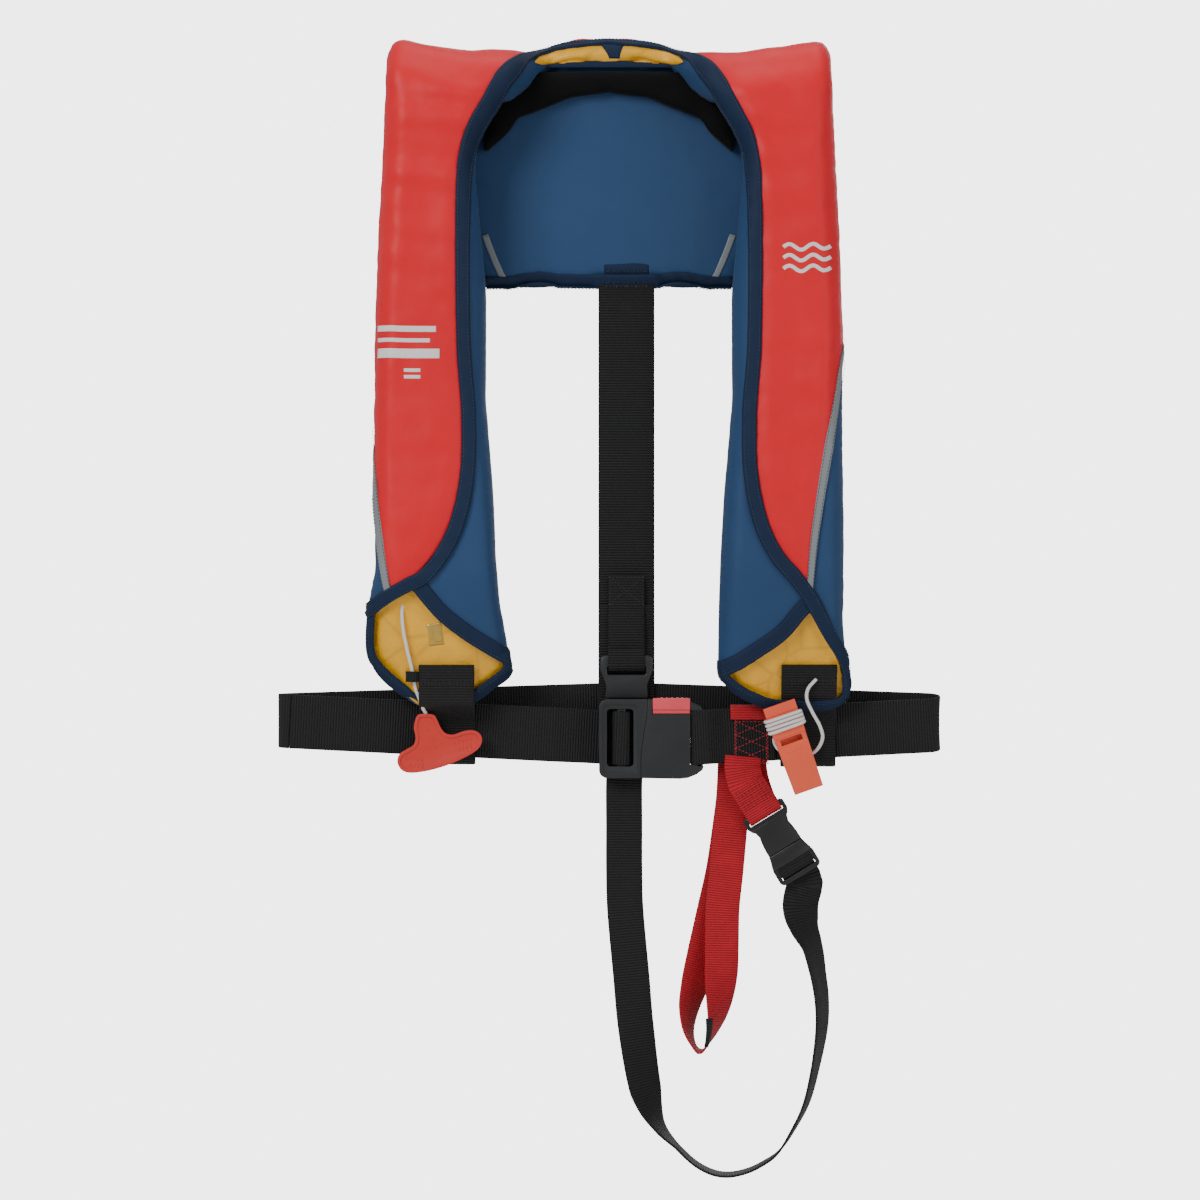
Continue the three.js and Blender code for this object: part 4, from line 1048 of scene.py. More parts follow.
belt = {"width": 46.0, "fold": 271.0, "radius": 10.0, "ends": -560, "frontSag": 16, "backRise": 10}


def beltAt(x):
    # the height of the belt's middle in front, lowest at the buckle
    return belt["ends"] - belt["frontSag"] * (1 - abs(x - 36) / 317)


def beltBackAt(x):
    return belt["ends"] + belt["backRise"] * (1 - abs(x) / 281)


def onBelt(stops):
    return [(x, y, beltAt(x)) for x, y in stops]


leftRun = rounded(onBelt([
    (-270.7, 0), (-48.5, 0), (-20.5, 7.3), (0.5, 7.3), (3.9, 4.3), (3.9, -4.5), (6.5, -6), (14.5, -6),
    (17.1, -4.5), (17.1, 7.3), (14.5, 9.6), (-22.5, 9.6), (-78.5, 2.3)]), 1.4)
beltLeft = webbing("beltFrontLeft", leftRun, belt["width"], "blackWebbing", upright)
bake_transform(beltLeft)
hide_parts("belt_front_left")


def foldStops(side):
    stops = []
    for k in range(9):
        turn = math.pi * k / 8
        x = side * (belt["fold"] + belt["radius"] * math.sin(turn))
        y = belt["radius"] + side * belt["radius"] * math.cos(turn)
        stops.append((x, y, mix(beltAt(x), beltBackAt(x), y / (2 * belt["radius"]))))
    return stops


backRun = (foldStops(-1) + [(15, 20, beltBackAt(15))] + foldStops(1)
           + onBelt([(94.5, 0), (85.5, 7.8), (74.5, 7.8), (70.1, 5.3), (70.1, -6), (73.5, -9.6), (83.5, -9.6),
                     (96.5, -2.3), (140.5, -2.3)]))
beltBack = webbing("beltBack", rounded(backRun, 1.4), belt["width"], "blackWebbing", upright)
declare(beltBack, "jacket", "black_webbing", "belt_back")


def sidePath(x, stops):
    return [(x, y, z) for y, z in stops]


straps = {"back": 48, "crotch": 31, "loop": 47, "lifting": 29}
backStrapRun = rounded(sidePath(strapX, [
    (24.7, -187), (24.7, -481.5), (23, -521.5), (23, -576.5), (20, -579.5), (17, -576.5), (17, -521.5),
    (22.4, -483.5), (22.4, -461.5)]), 1.6)
backStrap = webbing("backStrap", backStrapRun, straps["back"], "blackWebbing")
declare(backStrap, "jacket", "black_webbing", "back_strap")
patchOutline = [back(x, z) for x, z in [(-4, -189), (34, -189), (34, -172), (-4, -172)]]
patch = panel("hemPatch", patchOutline, "navy", 0.2, 0.8, step=3.0, side=-1)
declare(patch, "jacket", "navy_binding", "hem_patch")
sliderStrap = webbing("sliderStrap", rounded(sidePath(strapX, [
    (20.1, -437), (20.1, -465), (14.3, -503), (14.3, -514), (12.7, -517.4), (9.3, -517.4), (7.7, -514),
    (7.7, -499)]), 1.2), straps["crotch"], "blackWebbing")
declare(sliderStrap, "jacket", "black_webbing", "slider_strap")


def skinY(x, z):
    # the front of the foot, over the width of a belt loop
    spots = [front(x + aside, z) for aside in (-22, -11, 0, 11, 22)]
    return min(surfacePoint(*spot, 2.2 - footDepth(*spot)).y for spot in spots)


loopX = {"right": 169, "left": -137}
for side, x in loopX.items():
    low = beltAt(x) - 26
    high = beltAt(x) + 24
    resting = [(skinY(x, z) - 2.6, z) for z in (-512, -519, -526, -532)]
    if side == "left":
        resting += [(skinY(x, -540) - 5.2, -540), (skinY(x, -540) - 4.6, -545.5)]
    else:
        resting += [(skinY(x, -540) - 4.0, -540)]
    loop = webbing(side + "BeltLoop", rounded(sidePath(x, resting + [
        (-12, -552), (-3.2, -560), (-3.2, low), (0, low - 4), (4, low),
        (4, high), (-2.7, high + 8), (-2.7, high + 48)]), 2.0), straps["loop"], "blackWebbing", sway=0.3)
    declare(loop, "jacket", "black_webbing", "belt_loop_" + side)

clip = {"x": 133.0, "z": -640.0, "tilt": 0.545}


def placed(x, y, z, middleX, middleZ, tilt):
    # turns x and z by the tilt and moves them to the middle
    c = math.cos(tilt)
    s = math.sin(tilt)
    return Vector((middleX + c * x - s * z, y, middleZ + s * x + c * z))


def onClip(x, y, z):
    return placed(x, y, z, clip["x"], clip["z"], clip["tilt"])


clipAcross = onClip(1, 0, 0) - onClip(0, 0, 0)


def turnedStops(stops, step=3.0):
    # the line of the band, and which way its width points at each step
    points = [Vector(s[:3]) for s in stops]
    spans = len(stops) - 1
    line = []
    turns = []
    fine = catmull(points, max(8, int(pathLength(points) / step)))
    marks = [0.0]
    for a, b in zip(points, points[1:]):
        marks.append(marks[-1] + (b - a).length)
    for i, p in enumerate(fine):
        goal = marks[-1] * i / (len(fine) - 1)
        k = 0
        while k < spans - 1 and marks[k + 1] < goal:
            k += 1
        part = (goal - marks[k]) / (marks[k + 1] - marks[k])
        line.append(p)
        turn = mix(stops[k][3], stops[k + 1][3], min(1, max(0, part)))
        turns.append(Vector((math.cos(turn), math.sin(turn), 0)))
    return line, turns


crotchSlider = rounded(sidePath(strapX, [(14.3, -526), (14.3, -583)]), 1.2)
crotchStops = [  # x, y, z and the turn of the band's width away from level
    (15, 14.3, -585, 0), (13, 10, -612, 0), (13, 8, -650, 0), (13, 6, -688, 0), (14, 5, -722, 0),
    (19, 4, -777, 0), (23, 3, -821, 0.15), (31, 2, -873, 0.5), (42, 2, -903, 1.2), (57, 2, -921, 1.5),
    (73, 2, -936, 1.5), (88, 2, -944, 1.5), (102, 2, -946, 1.5), (117, 2, -943, 1.5),
    (130, 2, -937, 1.5), (144, 2, -927, 1.45), (156, 2, -909, 1.4), (168, 2, -885, 1.35),
    (176, 2, -853, 1.3), (181, 2, -821, 1.2), (181, 2, -797, 1.15), (178, 2, -776, 1.1),
    (173, 3, -752, 0.95), (166, 4, -735, 0.6), (163, 5.3, -717, 0.2), (167, 5.3, -699, 0.02),
]
hang, hangTurns = turnedStops(crotchStops)
clipEnd = rounded([onClip(0, y, z) for y, z in [
    (4.8, -62), (4.8, -57.2), (3.6, -54.8), (-4.0, -54.4), (-4.8, -51.5), (-4.8, -47)]], 1.2)
crotchLine = crotchSlider + hang + clipEnd
crotchTurns = [level] * len(crotchSlider) + hangTurns + [clipAcross] * len(clipEnd)
for k in range(1, 13):
    crotchTurns[-len(clipEnd) - k] = crotchTurns[-len(clipEnd) - k].lerp(clipAcross, 1 - k / 13)
crotchStrap = webbing("crotchStrap", crotchLine, straps["crotch"], "blackWebbing", turns=crotchTurns)
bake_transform(crotchStrap)
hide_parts("crotch_strap")

tabTop = rounded([(118.5, -4.6, -559), (118.5, -4.6, -549), (118.5, -0.5, -546.4), (118.5, 3, -549),
                  (118, 3, -560)], 1.4)
tab, _ = turnedStops([
    (118, 3, -560, 0), (118.5, 3, -595, 0), (121, 3.6, -612, 0), (126, 4.8, -627, 0),
    (129.5, 4.8, -633.5, 0)], 2.5)
tabEnd = rounded([onClip(0, y, z) for y, z in [
    (4.8, 6), (4.8, 1.2), (3.4, -1.4), (-3.4, -1.4), (-4.8, 1.2), (-5.2, 30)]], 1.2)
tabFront, _ = turnedStops([(*onClip(0, -5.2, 33), 0), (113.5, -4.5, -600, 0), (114, -3.8, -590, 0)], 2.5)
tabLine = tabTop + tab + tabEnd + tabFront
frontCount = len(tabFront)
tabTurns = [level] * (len(tabTop) + len(tab) - 6) + [level.lerp(clipAcross, k / 6) for k in range(6)]
tabTurns += [clipAcross] * len(tabEnd) + [clipAcross.lerp(level, k / frontCount) for k in range(frontCount)]
redTab = webbing("redTab", tabLine, straps["crotch"], "redWebbing", turns=tabTurns)
declare(redTab, "jacket", "red_webbing", "red_tab")

loopDown = [
    (108, 7, -560, 0), (106.5, 7, -612, 0), (103.5, 6.5, -650, 0), (100, 4, -688, 0), (96.7, 2, -719, 0),
    (96, 0, -750, 0.05), (95.5, -2, -773, 0.2), (93.4, -3, -800, 0.75), (90, -3, -819, 1.15),
    (84.5, -1, -834, 1.45), (78.5, 1, -840.5, 1.57), (72, 3, -836, 1.5), (67.5, 5, -822, 1.25),
    (68.5, 7, -803, 0.9), (74, 9, -782, 0.55), (82, 10.5, -752, 0.25), (90, 10.5, -719, 0.05),
    (97, 10.5, -688, 0), (102, 10.5, -655, 0), (106.5, 9.8, -620, 0), (108, 9.8, -600, 0),
]
liftLine, liftTurns = turnedStops(loopDown, 2.5)
liftingLoop = webbing("liftingLoop", liftLine, straps["lifting"], "redWebbing", turns=liftTurns)
declare(liftingLoop, "jacket", "red_webbing", "lifting_loop")
markStart = min(range(len(liftLine)), key=lambda i: (liftLine[i] - Vector((91.5, -3, -812))).length)
markEnd = markStart + 11
# the marker wraps the near edge of the band
markLine = [liftLine[i] - liftTurns[i] * 12.2 for i in range(markStart, markEnd)]
marker = webbing("loopMarker", markLine, 6.5, "blackWebbing", turns=liftTurns[markStart:markEnd], thick=3.4)
declare(marker, "jacket", "black_webbing", "loop_marker")
print("webbing made")


# ---- braided cords
def braid(name, line, radius, paint, sides=12):
    line = [Vector(p) for p in line]
    points = []
    uvs = []
    run = 0.0
    rows = len(line)
    side = None
    for i, here in enumerate(line):
        along = wayAlong(line, i)
        if side is None:
            side = along.orthogonal().normalized()
        side = (side - along * side.dot(along)).normalized()
        up = along.cross(side)
        if i:
            run += (here - line[i - 1]).length
        for k in range(sides):
            turn = 2 * math.pi * k / sides
            points.append((here + (side * math.cos(turn) + up * math.sin(turn)) * radius) * mm)
            uvs.append((k / sides * 2 * math.pi * radius * mm, run * mm))
    faces = tubeSides(rows, sides)
    faces.append(tuple(range(sides))[::-1])
    faces.append(tuple((rows - 1) * sides + k for k in range(sides)))
    return turnedOut(newPiece(name, points, faces, paint, uvs))


cords = {"radius": 1.5, "wraps": 4, "wrapRadius": 1.45, "wrapPitch": 3.05, "wrapTop": -11.4, "steps": 60}
pullStops = [
    (-172.5, -37.5, -455), (-174, -40.5, -464), (-173.9, -41, -474), (-172.5, -39.5, -486),
    (-170, -36.5, -499), (-166.5, -32.5, -514), (-165, -29.8, -522), (-163.5, -27.5, -531),
    (-160, -25.5, -541), (-156.8, -23.4, -549.5), (-155, -17.5, -552.8)]
pullLine = catmull(pullStops, cords["steps"])
pullCord = braid("pullCord", pullLine, cords["radius"], "cord")
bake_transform(pullCord)
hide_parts("pull_cord")

lanyardStops = [
    (175, -28, -524), (168, -29, -532), (166.8, -31, -541), (171.5, -31.5, -552), (178, -31, -564),
    (180, -28, -575), (173, -23, -586), (158, -22.4, -589), (145, -22.4, -585), (139.5, -22.6, -577),
    (140.9, -22.8, -570.4)]
lanyardLine = catmull(lanyardStops, cords["steps"])
lanyard = braid("whistleLanyard", lanyardLine, cords["radius"], "cord")
declare(lanyard, "whistle", "white_cord", "whistle_lanyard")
whistle = {"topX": 143.0, "topZ": -545.0, "y": -29.5, "tilt": 0.34}


def onWhistle(x, y, z):
    return placed(x, whistle["y"] + y, z, whistle["topX"], whistle["topZ"], whistle["tilt"])


wrapPieces = []
for k in range(cords["wraps"]):
    ring = []
    for i in range(49):
        turn = 2 * math.pi * i / 48
        cx = math.copysign(abs(math.cos(turn)) ** 0.45, math.cos(turn))
        cy = math.copysign(abs(math.sin(turn)) ** 0.45, math.sin(turn))
        lean = 1.1 * math.sin(turn * 0.5 + k) + 0.5 * math.sin(turn + 2 * k)
        ring.append(onWhistle(cx * 15.6, cy * 6.6, cords["wrapTop"] - cords["wrapPitch"] * k + lean * 0.6))
    wrapPieces.append(braid("wrap%d" % k, ring, cords["wrapRadius"], "cord", 10))
wraps = joined("lanyardWraps", wrapPieces)
declare(wraps, "whistle", "white_cord", "lanyard_wraps")
print("cords made")


# ---- moulded parts
def closedCurve(points, count=6):
    # a smooth closed outline through the given points
    size = len(points)
    result = []
    for i in range(size):
        around = [Vector(points[(i + k) % size]) for k in (-1, 0, 1, 2)]
        result += [splineAt(*around, k / count) for k in range(count)]
    return result


def roundRect(low, high, radius, count=5):
    result = []
    corners = [(high[0], high[1], 0), (low[0], high[1], 90), (low[0], low[1], 180), (high[0], low[1], 270)]
    for x, z, start in corners:
        cx = x - radius * (1 if start in (0, 270) else -1)
        cz = z - radius * (1 if start in (0, 90) else -1)
        for k in range(count + 1):
            turn = math.radians(start + 90 * k / count)
            result.append((cx + radius * math.cos(turn), cz + radius * math.sin(turn)))
    return result


def slab(name, outline, yLow, yHigh, paint="darkPlastic"):
    # a plate standing in the XZ plane, yLow being its front
    count = len(outline)
    points = [(x, yLow, z) for x, z in outline] + [(x, yHigh, z) for x, z in outline]
    faces = [tuple(range(count)), tuple(range(2 * count - 1, count - 1, -1))]
    faces += [(i, (i + 1) % count, (i + 1) % count + count, i + count) for i in range(count)]
    return turnedOut(newPiece(name, [Vector(p) * mm for p in points], faces, paint))


def brick(name, xs, ys, zs, paint="darkPlastic"):
    return slab(name, [(xs[0], zs[0]), (xs[1], zs[0]), (xs[1], zs[1]), (xs[0], zs[1])], ys[0], ys[1], paint)


def cutOut(piece, *others):
    for other in others:
        tool = piece.modifiers.new("shape", "BOOLEAN")
        tool.operation = "DIFFERENCE"
        tool.solver = "EXACT"
        tool.object = other
        baked(piece)
        bpy.data.objects.remove(other)
    return piece


def eased(piece, width, segments=3, angle=35):
    # rounds the moulded edges and sharpens the shading where the surface still turns hard
    work = bmesh.new()
    work.from_mesh(piece.data)
    bmesh.ops.remove_doubles(work, verts=work.verts, dist=2e-5)
    bmesh.ops.dissolve_limit(work, angle_limit=math.radians(1.5), verts=work.verts, edges=work.edges)
    work.to_mesh(piece.data)
    work.free()
    bevel = piece.modifiers.new("edge", "BEVEL")
    bevel.width = width * mm
    bevel.segments = segments
    bevel.limit_method = "ANGLE"
    bevel.angle_limit = math.radians(angle)
    bevel.use_clamp_overlap = True
    baked(piece)
    for face in piece.data.polygons:
        face.use_smooth = True
    piece.data.set_sharp_from_angle(angle=math.radians(42))
    return turnedOut(piece)


def moved(piece, place):
    for v in piece.data.vertices:
        v.co = place(*(v.co * 1000)) * mm
    piece.data.update()
    return turnedOut(piece)


# ---- waist buckle
buckle = {"front": -8.0, "back": 6.0, "top": -541.5, "low": -608.5, "left": -8.5, "edge": 1.6, "seam": 0.35}
split = [(33.0, buckle["top"]), (32.2, -556), (29.5, -572), (27.6, -586), (27.2, -598), (27.4, buckle["low"])]
maleOutline = (roundRect((buckle["left"], buckle["low"]), (40, buckle["top"]), 7)[6:18]
               + [(x - buckle["seam"], z) for x, z in split[::-1]])
buckleMale = slab("buckleMale", maleOutline, buckle["front"], buckle["back"])
buckleMale = cutOut(
    buckleMale,
    slab("window", roundRect((-1.8, -598.6), (20.8, -549.8), 3), -9, 8),
    slab("rimHollow", roundRect((-5.5, -604), (24.5, -546), 4), -9, -6.6),
    brick("relief", (-10, -1.5), (5.4, 9), (-601, -549)))
eased(buckleMale, 1.0)
bar = eased(brick("bar", (6.5, 14.5), (-4.7, 4.3), (-603, -547)), 1.8, 4)
tongue = eased(brick("tongue", (27, 67), (-4, 2), (-598, -560)), 1.2)
buckleMale = joined("buckleMale", [buckleMale, bar, tongue])
declare(buckleMale, "buckle_half", "dark_plastic", "buckle_male")

femaleOutline = split + [
    (60, buckle["low"] - 0.6), (67, buckle["low"] + 0.2), (74, -605.5), (79.5, -601.5), (80.3, -598.5),
    (79, -596.5), (74.6, -596), (73.6, -590), (73.4, -575), (73.6, -560), (74.6, -554.5), (79, -554),
    (80.2, -551), (77.5, -547.5), (70, -544.2), (56, -542.2)]
buckleFemale = slab("buckleFemale", femaleOutline[::-1], buckle["front"], buckle["back"])
buckleFemale = cutOut(
    buckleFemale,
    brick("socket", (20, 68), (-4.4, 2.4), (-598.4, -559.6)),
    brick("buttonFront", (36.6, 69.4), (-9, -7.2), (-554, -530)),
    brick("buttonRoom", (36.6, 69.4), (-7.3, 3.3), (-557.6, -530)),
    brick("slot", (69.0, 71.4), (-9, 8), (-597.4, -551.1)))
eased(buckleFemale, buckle["edge"], 4)
rearBar = eased(brick("rearBar", (73.5, 79.8), (-8, 6), (-600, -550)), 1.6)
buckleFemale = joined("buckleFemale", [buckleFemale, rearBar])
declare(buckleFemale, "jacket", "dark_plastic", "buckle_female")

# the button's face is stepped, so that the lower part slides in behind the housing's front
press = {"ridges": 5, "firstRidge": 44, "ridgePitch": 4.4, "ridgeWidth": 1.6}
button = eased(brick("releaseButton", (37, 69), (-8.7, -5.6), (-550.6, -540.5), "redPlastic"), 1.1, 4)
buttonCore = brick("buttonCore", (37.2, 68.8), (-7.0, 3), (-553.8, -541.2), "redPlastic")
springSeat = brick("springSeat", (49, 57), (-5.2, 3.2), (-560, -549.8), "redPlastic")
buttonCore = eased(cutOut(buttonCore, springSeat), 0.4, 2)
ridges = []
for k in range(press["ridges"]):
    x = press["firstRidge"] + press["ridgePitch"] * k
    ridges.append(eased(brick("ridge%d" % k, (x, x + press["ridgeWidth"]), (-7, 1.5), (-541.2, -540.1),
                              "redPlastic"), 0.3, 2))
button = joined("releaseButton", [button, buttonCore] + ridges)
declare(button, "button", "red_plastic", "release_button")

sliderOutline = [
    (-7, -506), (-7.4, -516), (-5, -523), (-2.6, -530), (-3.2, -541), (33.2, -541), (32.6, -530), (35, -523),
    (37.4, -516), (37, -506), (33, -504.6), (-3, -504.6)]
slider = cutOut(slab("strapSlider", sliderOutline, 9, 13),
                slab("slot", roundRect((-1.5, -521), (31.5, -514), 1.5, 3), 8, 14))
eased(slider, 0.9)
declare(slider, "jacket", "dark_plastic", "strap_slider")

# ---- side-release clip on the crotch strap
clipBody = [
    (-19.5, 4), (-19.5, -3.5), (-17.6, -7), (-15.6, -9), (-14.2, -14), (-15.2, -19), (-15.8, -25), (-16, -32),
    (16, -32), (15.8, -25), (15.2, -19), (14.2, -14), (15.6, -9), (17.6, -7), (19.5, -3.5), (19.5, 4),
    (17.5, 6), (-17.5, 6)]
clipFemale = slab("clipFemale", clipBody, -5.5, 5.5, "blackPlastic")
clipFemale = cutOut(
    clipFemale,
    brick("webSlot", (-16, 16), (-7, 7), (-2.7, 0.1)),
    brick("frontStep", (-21, 21), (-7, -3.5), (-6, 8)), brick("backStep", (-21, 21), (3.5, 7), (-6, 8)),
    brick("clipSocket", (-12.9, 12.9), (-2.8, 2.8), (-33, -9)),
    brick("sideWindow", (-17, 17), (-2.8, 2.8), (-26, -13)))
eased(clipFemale, 0.9)
moved(clipFemale, onClip)
declare(clipFemale, "jacket", "dark_plastic", "crotch_buckle_female")
baseOutline = [(-16, -32.3), (-17, -37), (-19, -43), (-17, -45), (17, -45), (19, -43), (17, -37), (16, -32.3)]
clipBase = eased(slab("clipBase", baseOutline, -5.5, 5.5, "blackPlastic"), 1.0)
ladder = cutOut(slab("ladder", roundRect((-19.5, -60), (19.5, -41.3), 4.5), -3.5, 3.5, "blackPlastic"),
                brick("slot", (-16, 16), (-5, 5), (-56, -53)))
eased(ladder, 1.1)
prongs = [eased(brick("prong", xs, (-2.4, 2.4), (-36, -10), "blackPlastic"), 0.8)
          for xs in ((6.5, 12.5), (-12.5, -6.5))]
clipMale = moved(joined("clipMale", [clipBase, ladder] + prongs), onClip)
declare(clipMale, "crotch_half", "dark_plastic", "crotch_buckle_male")

# ---- pull handle
grip = {"x": -143, "z": -579, "front": -19, "back": -14, "rim": 2.6, "depth": 1.2, "studPitch": 3.4}
handleRaw = [
    (-20, 22.5), (-16.5, 25.2), (-7, 25), (-3.5, 22.5), (1, 13), (5.5, 8.6), (12, 8), (21, 11), (29, 11.2),
    (34.5, 7.5), (35.3, 1), (31, -5.5), (20, -12), (5, -18.5), (-10, -22.8), (-24, -24.6), (-32, -22.5),
    (-36, -16), (-34.5, -9), (-28, -4.5), (-22.5, -1), (-20.6, 5), (-22, 14)]
handleOutline = [(grip["x"] + x, grip["z"] + z) for x, z in closedCurve(handleRaw, 5)]


def dish(name, outline, yFront, yBack, rim, depth, paint):
    # a plate with a raised rim round a hollow front
    inner = shrunk(outline, rim)
    rows = [[(x, yBack, z) for x, z in outline], [(x, yFront, z) for x, z in outline],
            [(x, yFront, z) for x, z in inner], [(x, yFront + depth, z) for x, z in inner]]
    count = len(outline)
    points = [Vector(p) * mm for row in rows for p in row]
    faces = [tuple(range(count))[::-1], tuple(range(3 * count, 4 * count))] + tubeSides(4, count)
    return turnedOut(newPiece(name, points, faces, paint))


handle = dish("pullHandle", handleOutline, grip["front"], grip["back"], grip["rim"], grip["depth"],
              "handlePlastic")
eased(handle, 0.8, 3)
embossed = []
# each row of studs: its middle, its tilt and how many it holds
for middleX, middleZ, tilt, count in ((-165, -591, -0.12, 5), (-163, -597, -0.12, 4), (-124, -576, 0.3, 5),
                                      (-122, -582, 0.3, 4)):
    for k in range(count):
        stud = slab("grip", roundRect((-0.6, -1.9), (0.6, 1.9), 0.55, 3), -18.3, -17.4, "handlePlastic")
        onRow = (k - (count - 1) / 2) * grip["studPitch"]
        embossed.append(moved(eased(stud, 0.25, 2), lambda x, y, z: placed(
            onRow + x, y, z, middleX, middleZ, tilt)))
stem = eased(slab("stemLine", [(-155.6, -561), (-154.6, -561), (-145.8, -583), (-146.8, -583)], -18.1, -17.4,
                  "handlePlastic"), 0.2, 2)
eyeletTurns = [2 * math.pi * k / 24 for k in range(25)]
eyelet = [Vector((-155 + 2.9 * math.cos(a), -16.5, -556.5 + 2.9 * math.sin(a))) for a in eyeletTurns]
ferrule = braid("eyelet", eyelet, 0.9, "handlePlastic", 8)
handle = joined("pullHandle", [handle, stem, ferrule] + embossed)
declare(handle, "handle", "red_plastic", "pull_handle")
round(pathLength(pullLine) * mm, 4)
[tuple(p * mm) for p in pullLine]
round(pathLength(lanyardLine) * mm, 4)
[tuple(p * mm) for p in lanyardLine]

# ---- whistle
whistleOutline = [
    (-14, 0), (14, 0), (14, -24), (13.6, -30), (12.5, -77), (-12.5, -77), (-13.6, -30), (-14, -24)]
whistleBody = slab("whistle", whistleOutline, -5, 5, "orangePlastic")
whistleBody = cutOut(
    whistleBody,
    brick("bore", (-9.5, 9.5), (-3, 3), (-80, -28)),
    brick("soundSlot", (-9.5, 9.5), (-8, 0), (-34.5, -29.5)),
    brick("soundRamp", (-12.6, 12.6), (-8, -4.1), (-36, -28)),
    brick("topStep", (-16, 16), (-8, -4.2), (-9.5, -8.3)))
eased(whistleBody, 0.7)
bars = [eased(brick("mark%d" % k, (-8 + 5.6 * k, -4.6 + 5.6 * k), (-5.35, -4.8), (-41.5, -39.3),
                    "orangePlastic"), 0.2, 2) for k in range(3)]
whistlePiece = moved(joined("whistle", [whistleBody] + bars), onWhistle)
declare(whistlePiece, "whistle", "whistle_plastic", "whistle")

# ---- cord keeper sewn to the foot
keeper = {"width": 9, "thick": 1.6, "z": -522}
keeperTurns = [2 * math.pi * k / 32 for k in range(33)]
keeperRing = [Vector((-165.8 + 5.0 * math.cos(a), -29.6 + 4.1 * math.sin(a), keeper["z"]))
              for a in keeperTurns]
keeperBand = webbing("cordKeeper", keeperRing, keeper["width"], "blackWebbing", upright,
                     thick=keeper["thick"])
tailRun = rounded([(x, y, keeper["z"]) for x, y in ((-162, -26.5), (-158, -25.5), (-152, -23.5))], 1)
keeperTail = webbing("keeperTail", tailRun, keeper["width"], "blackWebbing", upright, thick=keeper["thick"])
keeperBand = joined("cordKeeper", [keeperBand, keeperTail])
declare(keeperBand, "jacket", "black_webbing", "cord_keeper")
print("moulded parts made")


# ---- neck pad: the CAD solid swollen as padded mesh
def softCopy(node, name, voxel, paint, smooth=2):
    piece = bpy.data.objects.new(name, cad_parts[node].data.copy())
    bpy.context.scene.collection.objects.link(piece)
    remesh = piece.modifiers.new("even", "REMESH")
    remesh.mode = "VOXEL"
    remesh.voxel_size = voxel * mm
    baked(piece)
    relax = piece.modifiers.new("relax", "SMOOTH")
    relax.factor = 0.6
    relax.iterations = smooth
    baked(piece)
    for face in piece.data.polygons:
        face.use_smooth = True
    piece.data.materials.clear()
    piece.data.materials.append(paints[paint])
    return turnedOut(piece)


def subdivided(piece, levels=1):
    finer = piece.modifiers.new("finer", "SUBSURF")
    finer.levels = levels
    finer.render_levels = levels
    return baked(piece)


pad = {"voxel": 3.6, "smooth": 3, "pressure": 5.0, "swell": 2.5, "slack": -0.02, "lump": 1.1, "fill": 0.5}
neckPad = softCopy("neck_pad", "neckPad", pad["voxel"], "pad", pad["smooth"])
inflate(neckPad, pad["pressure"], pad["swell"] * mm, shrink=pad["slack"])
subdivided(neckPad)
for v in neckPad.data.vertices:
    p = v.co * 1000
    v.co.y += pad["lump"] * mm * noise(Vector((p.x * 0.05, p.y * 0.05, p.z * 0.09)))
declare(neckPad, "jacket", "black_webbing", "neck_pad")
neckBinding = subdivided(softCopy("neck_binding", "neckBinding", 1.2, "navy", 2))
declare(neckBinding, "jacket", "navy_binding", "neck_binding")
tabOutline = onFront([(-8, 21.5), (13, 21.5), (9, 9.5), (0, 9.5)])
collarTab = panel("collarTab", tabOutline, "navy", 1.4, 2.6, step=2.0)
declare(collarTab, "jacket", "navy_binding", "collar_tab")
print("neck pad made")

# ---- finishes of the inflator and the other parts kept from the CAD
kept = {
    "inflator_body": "rubber", "lever_pin": "steel", "inflator_lever": "redPlastic",
    "firing_cap": "blackPlastic", "gas_cylinder": "steel", "oral_tube": "rubber", "oral_cap": "orangePlastic",
    "button_spring": "steel",
}
for node, paint in kept.items():
    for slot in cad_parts[node].material_slots:
        slot.material = paints[paint]


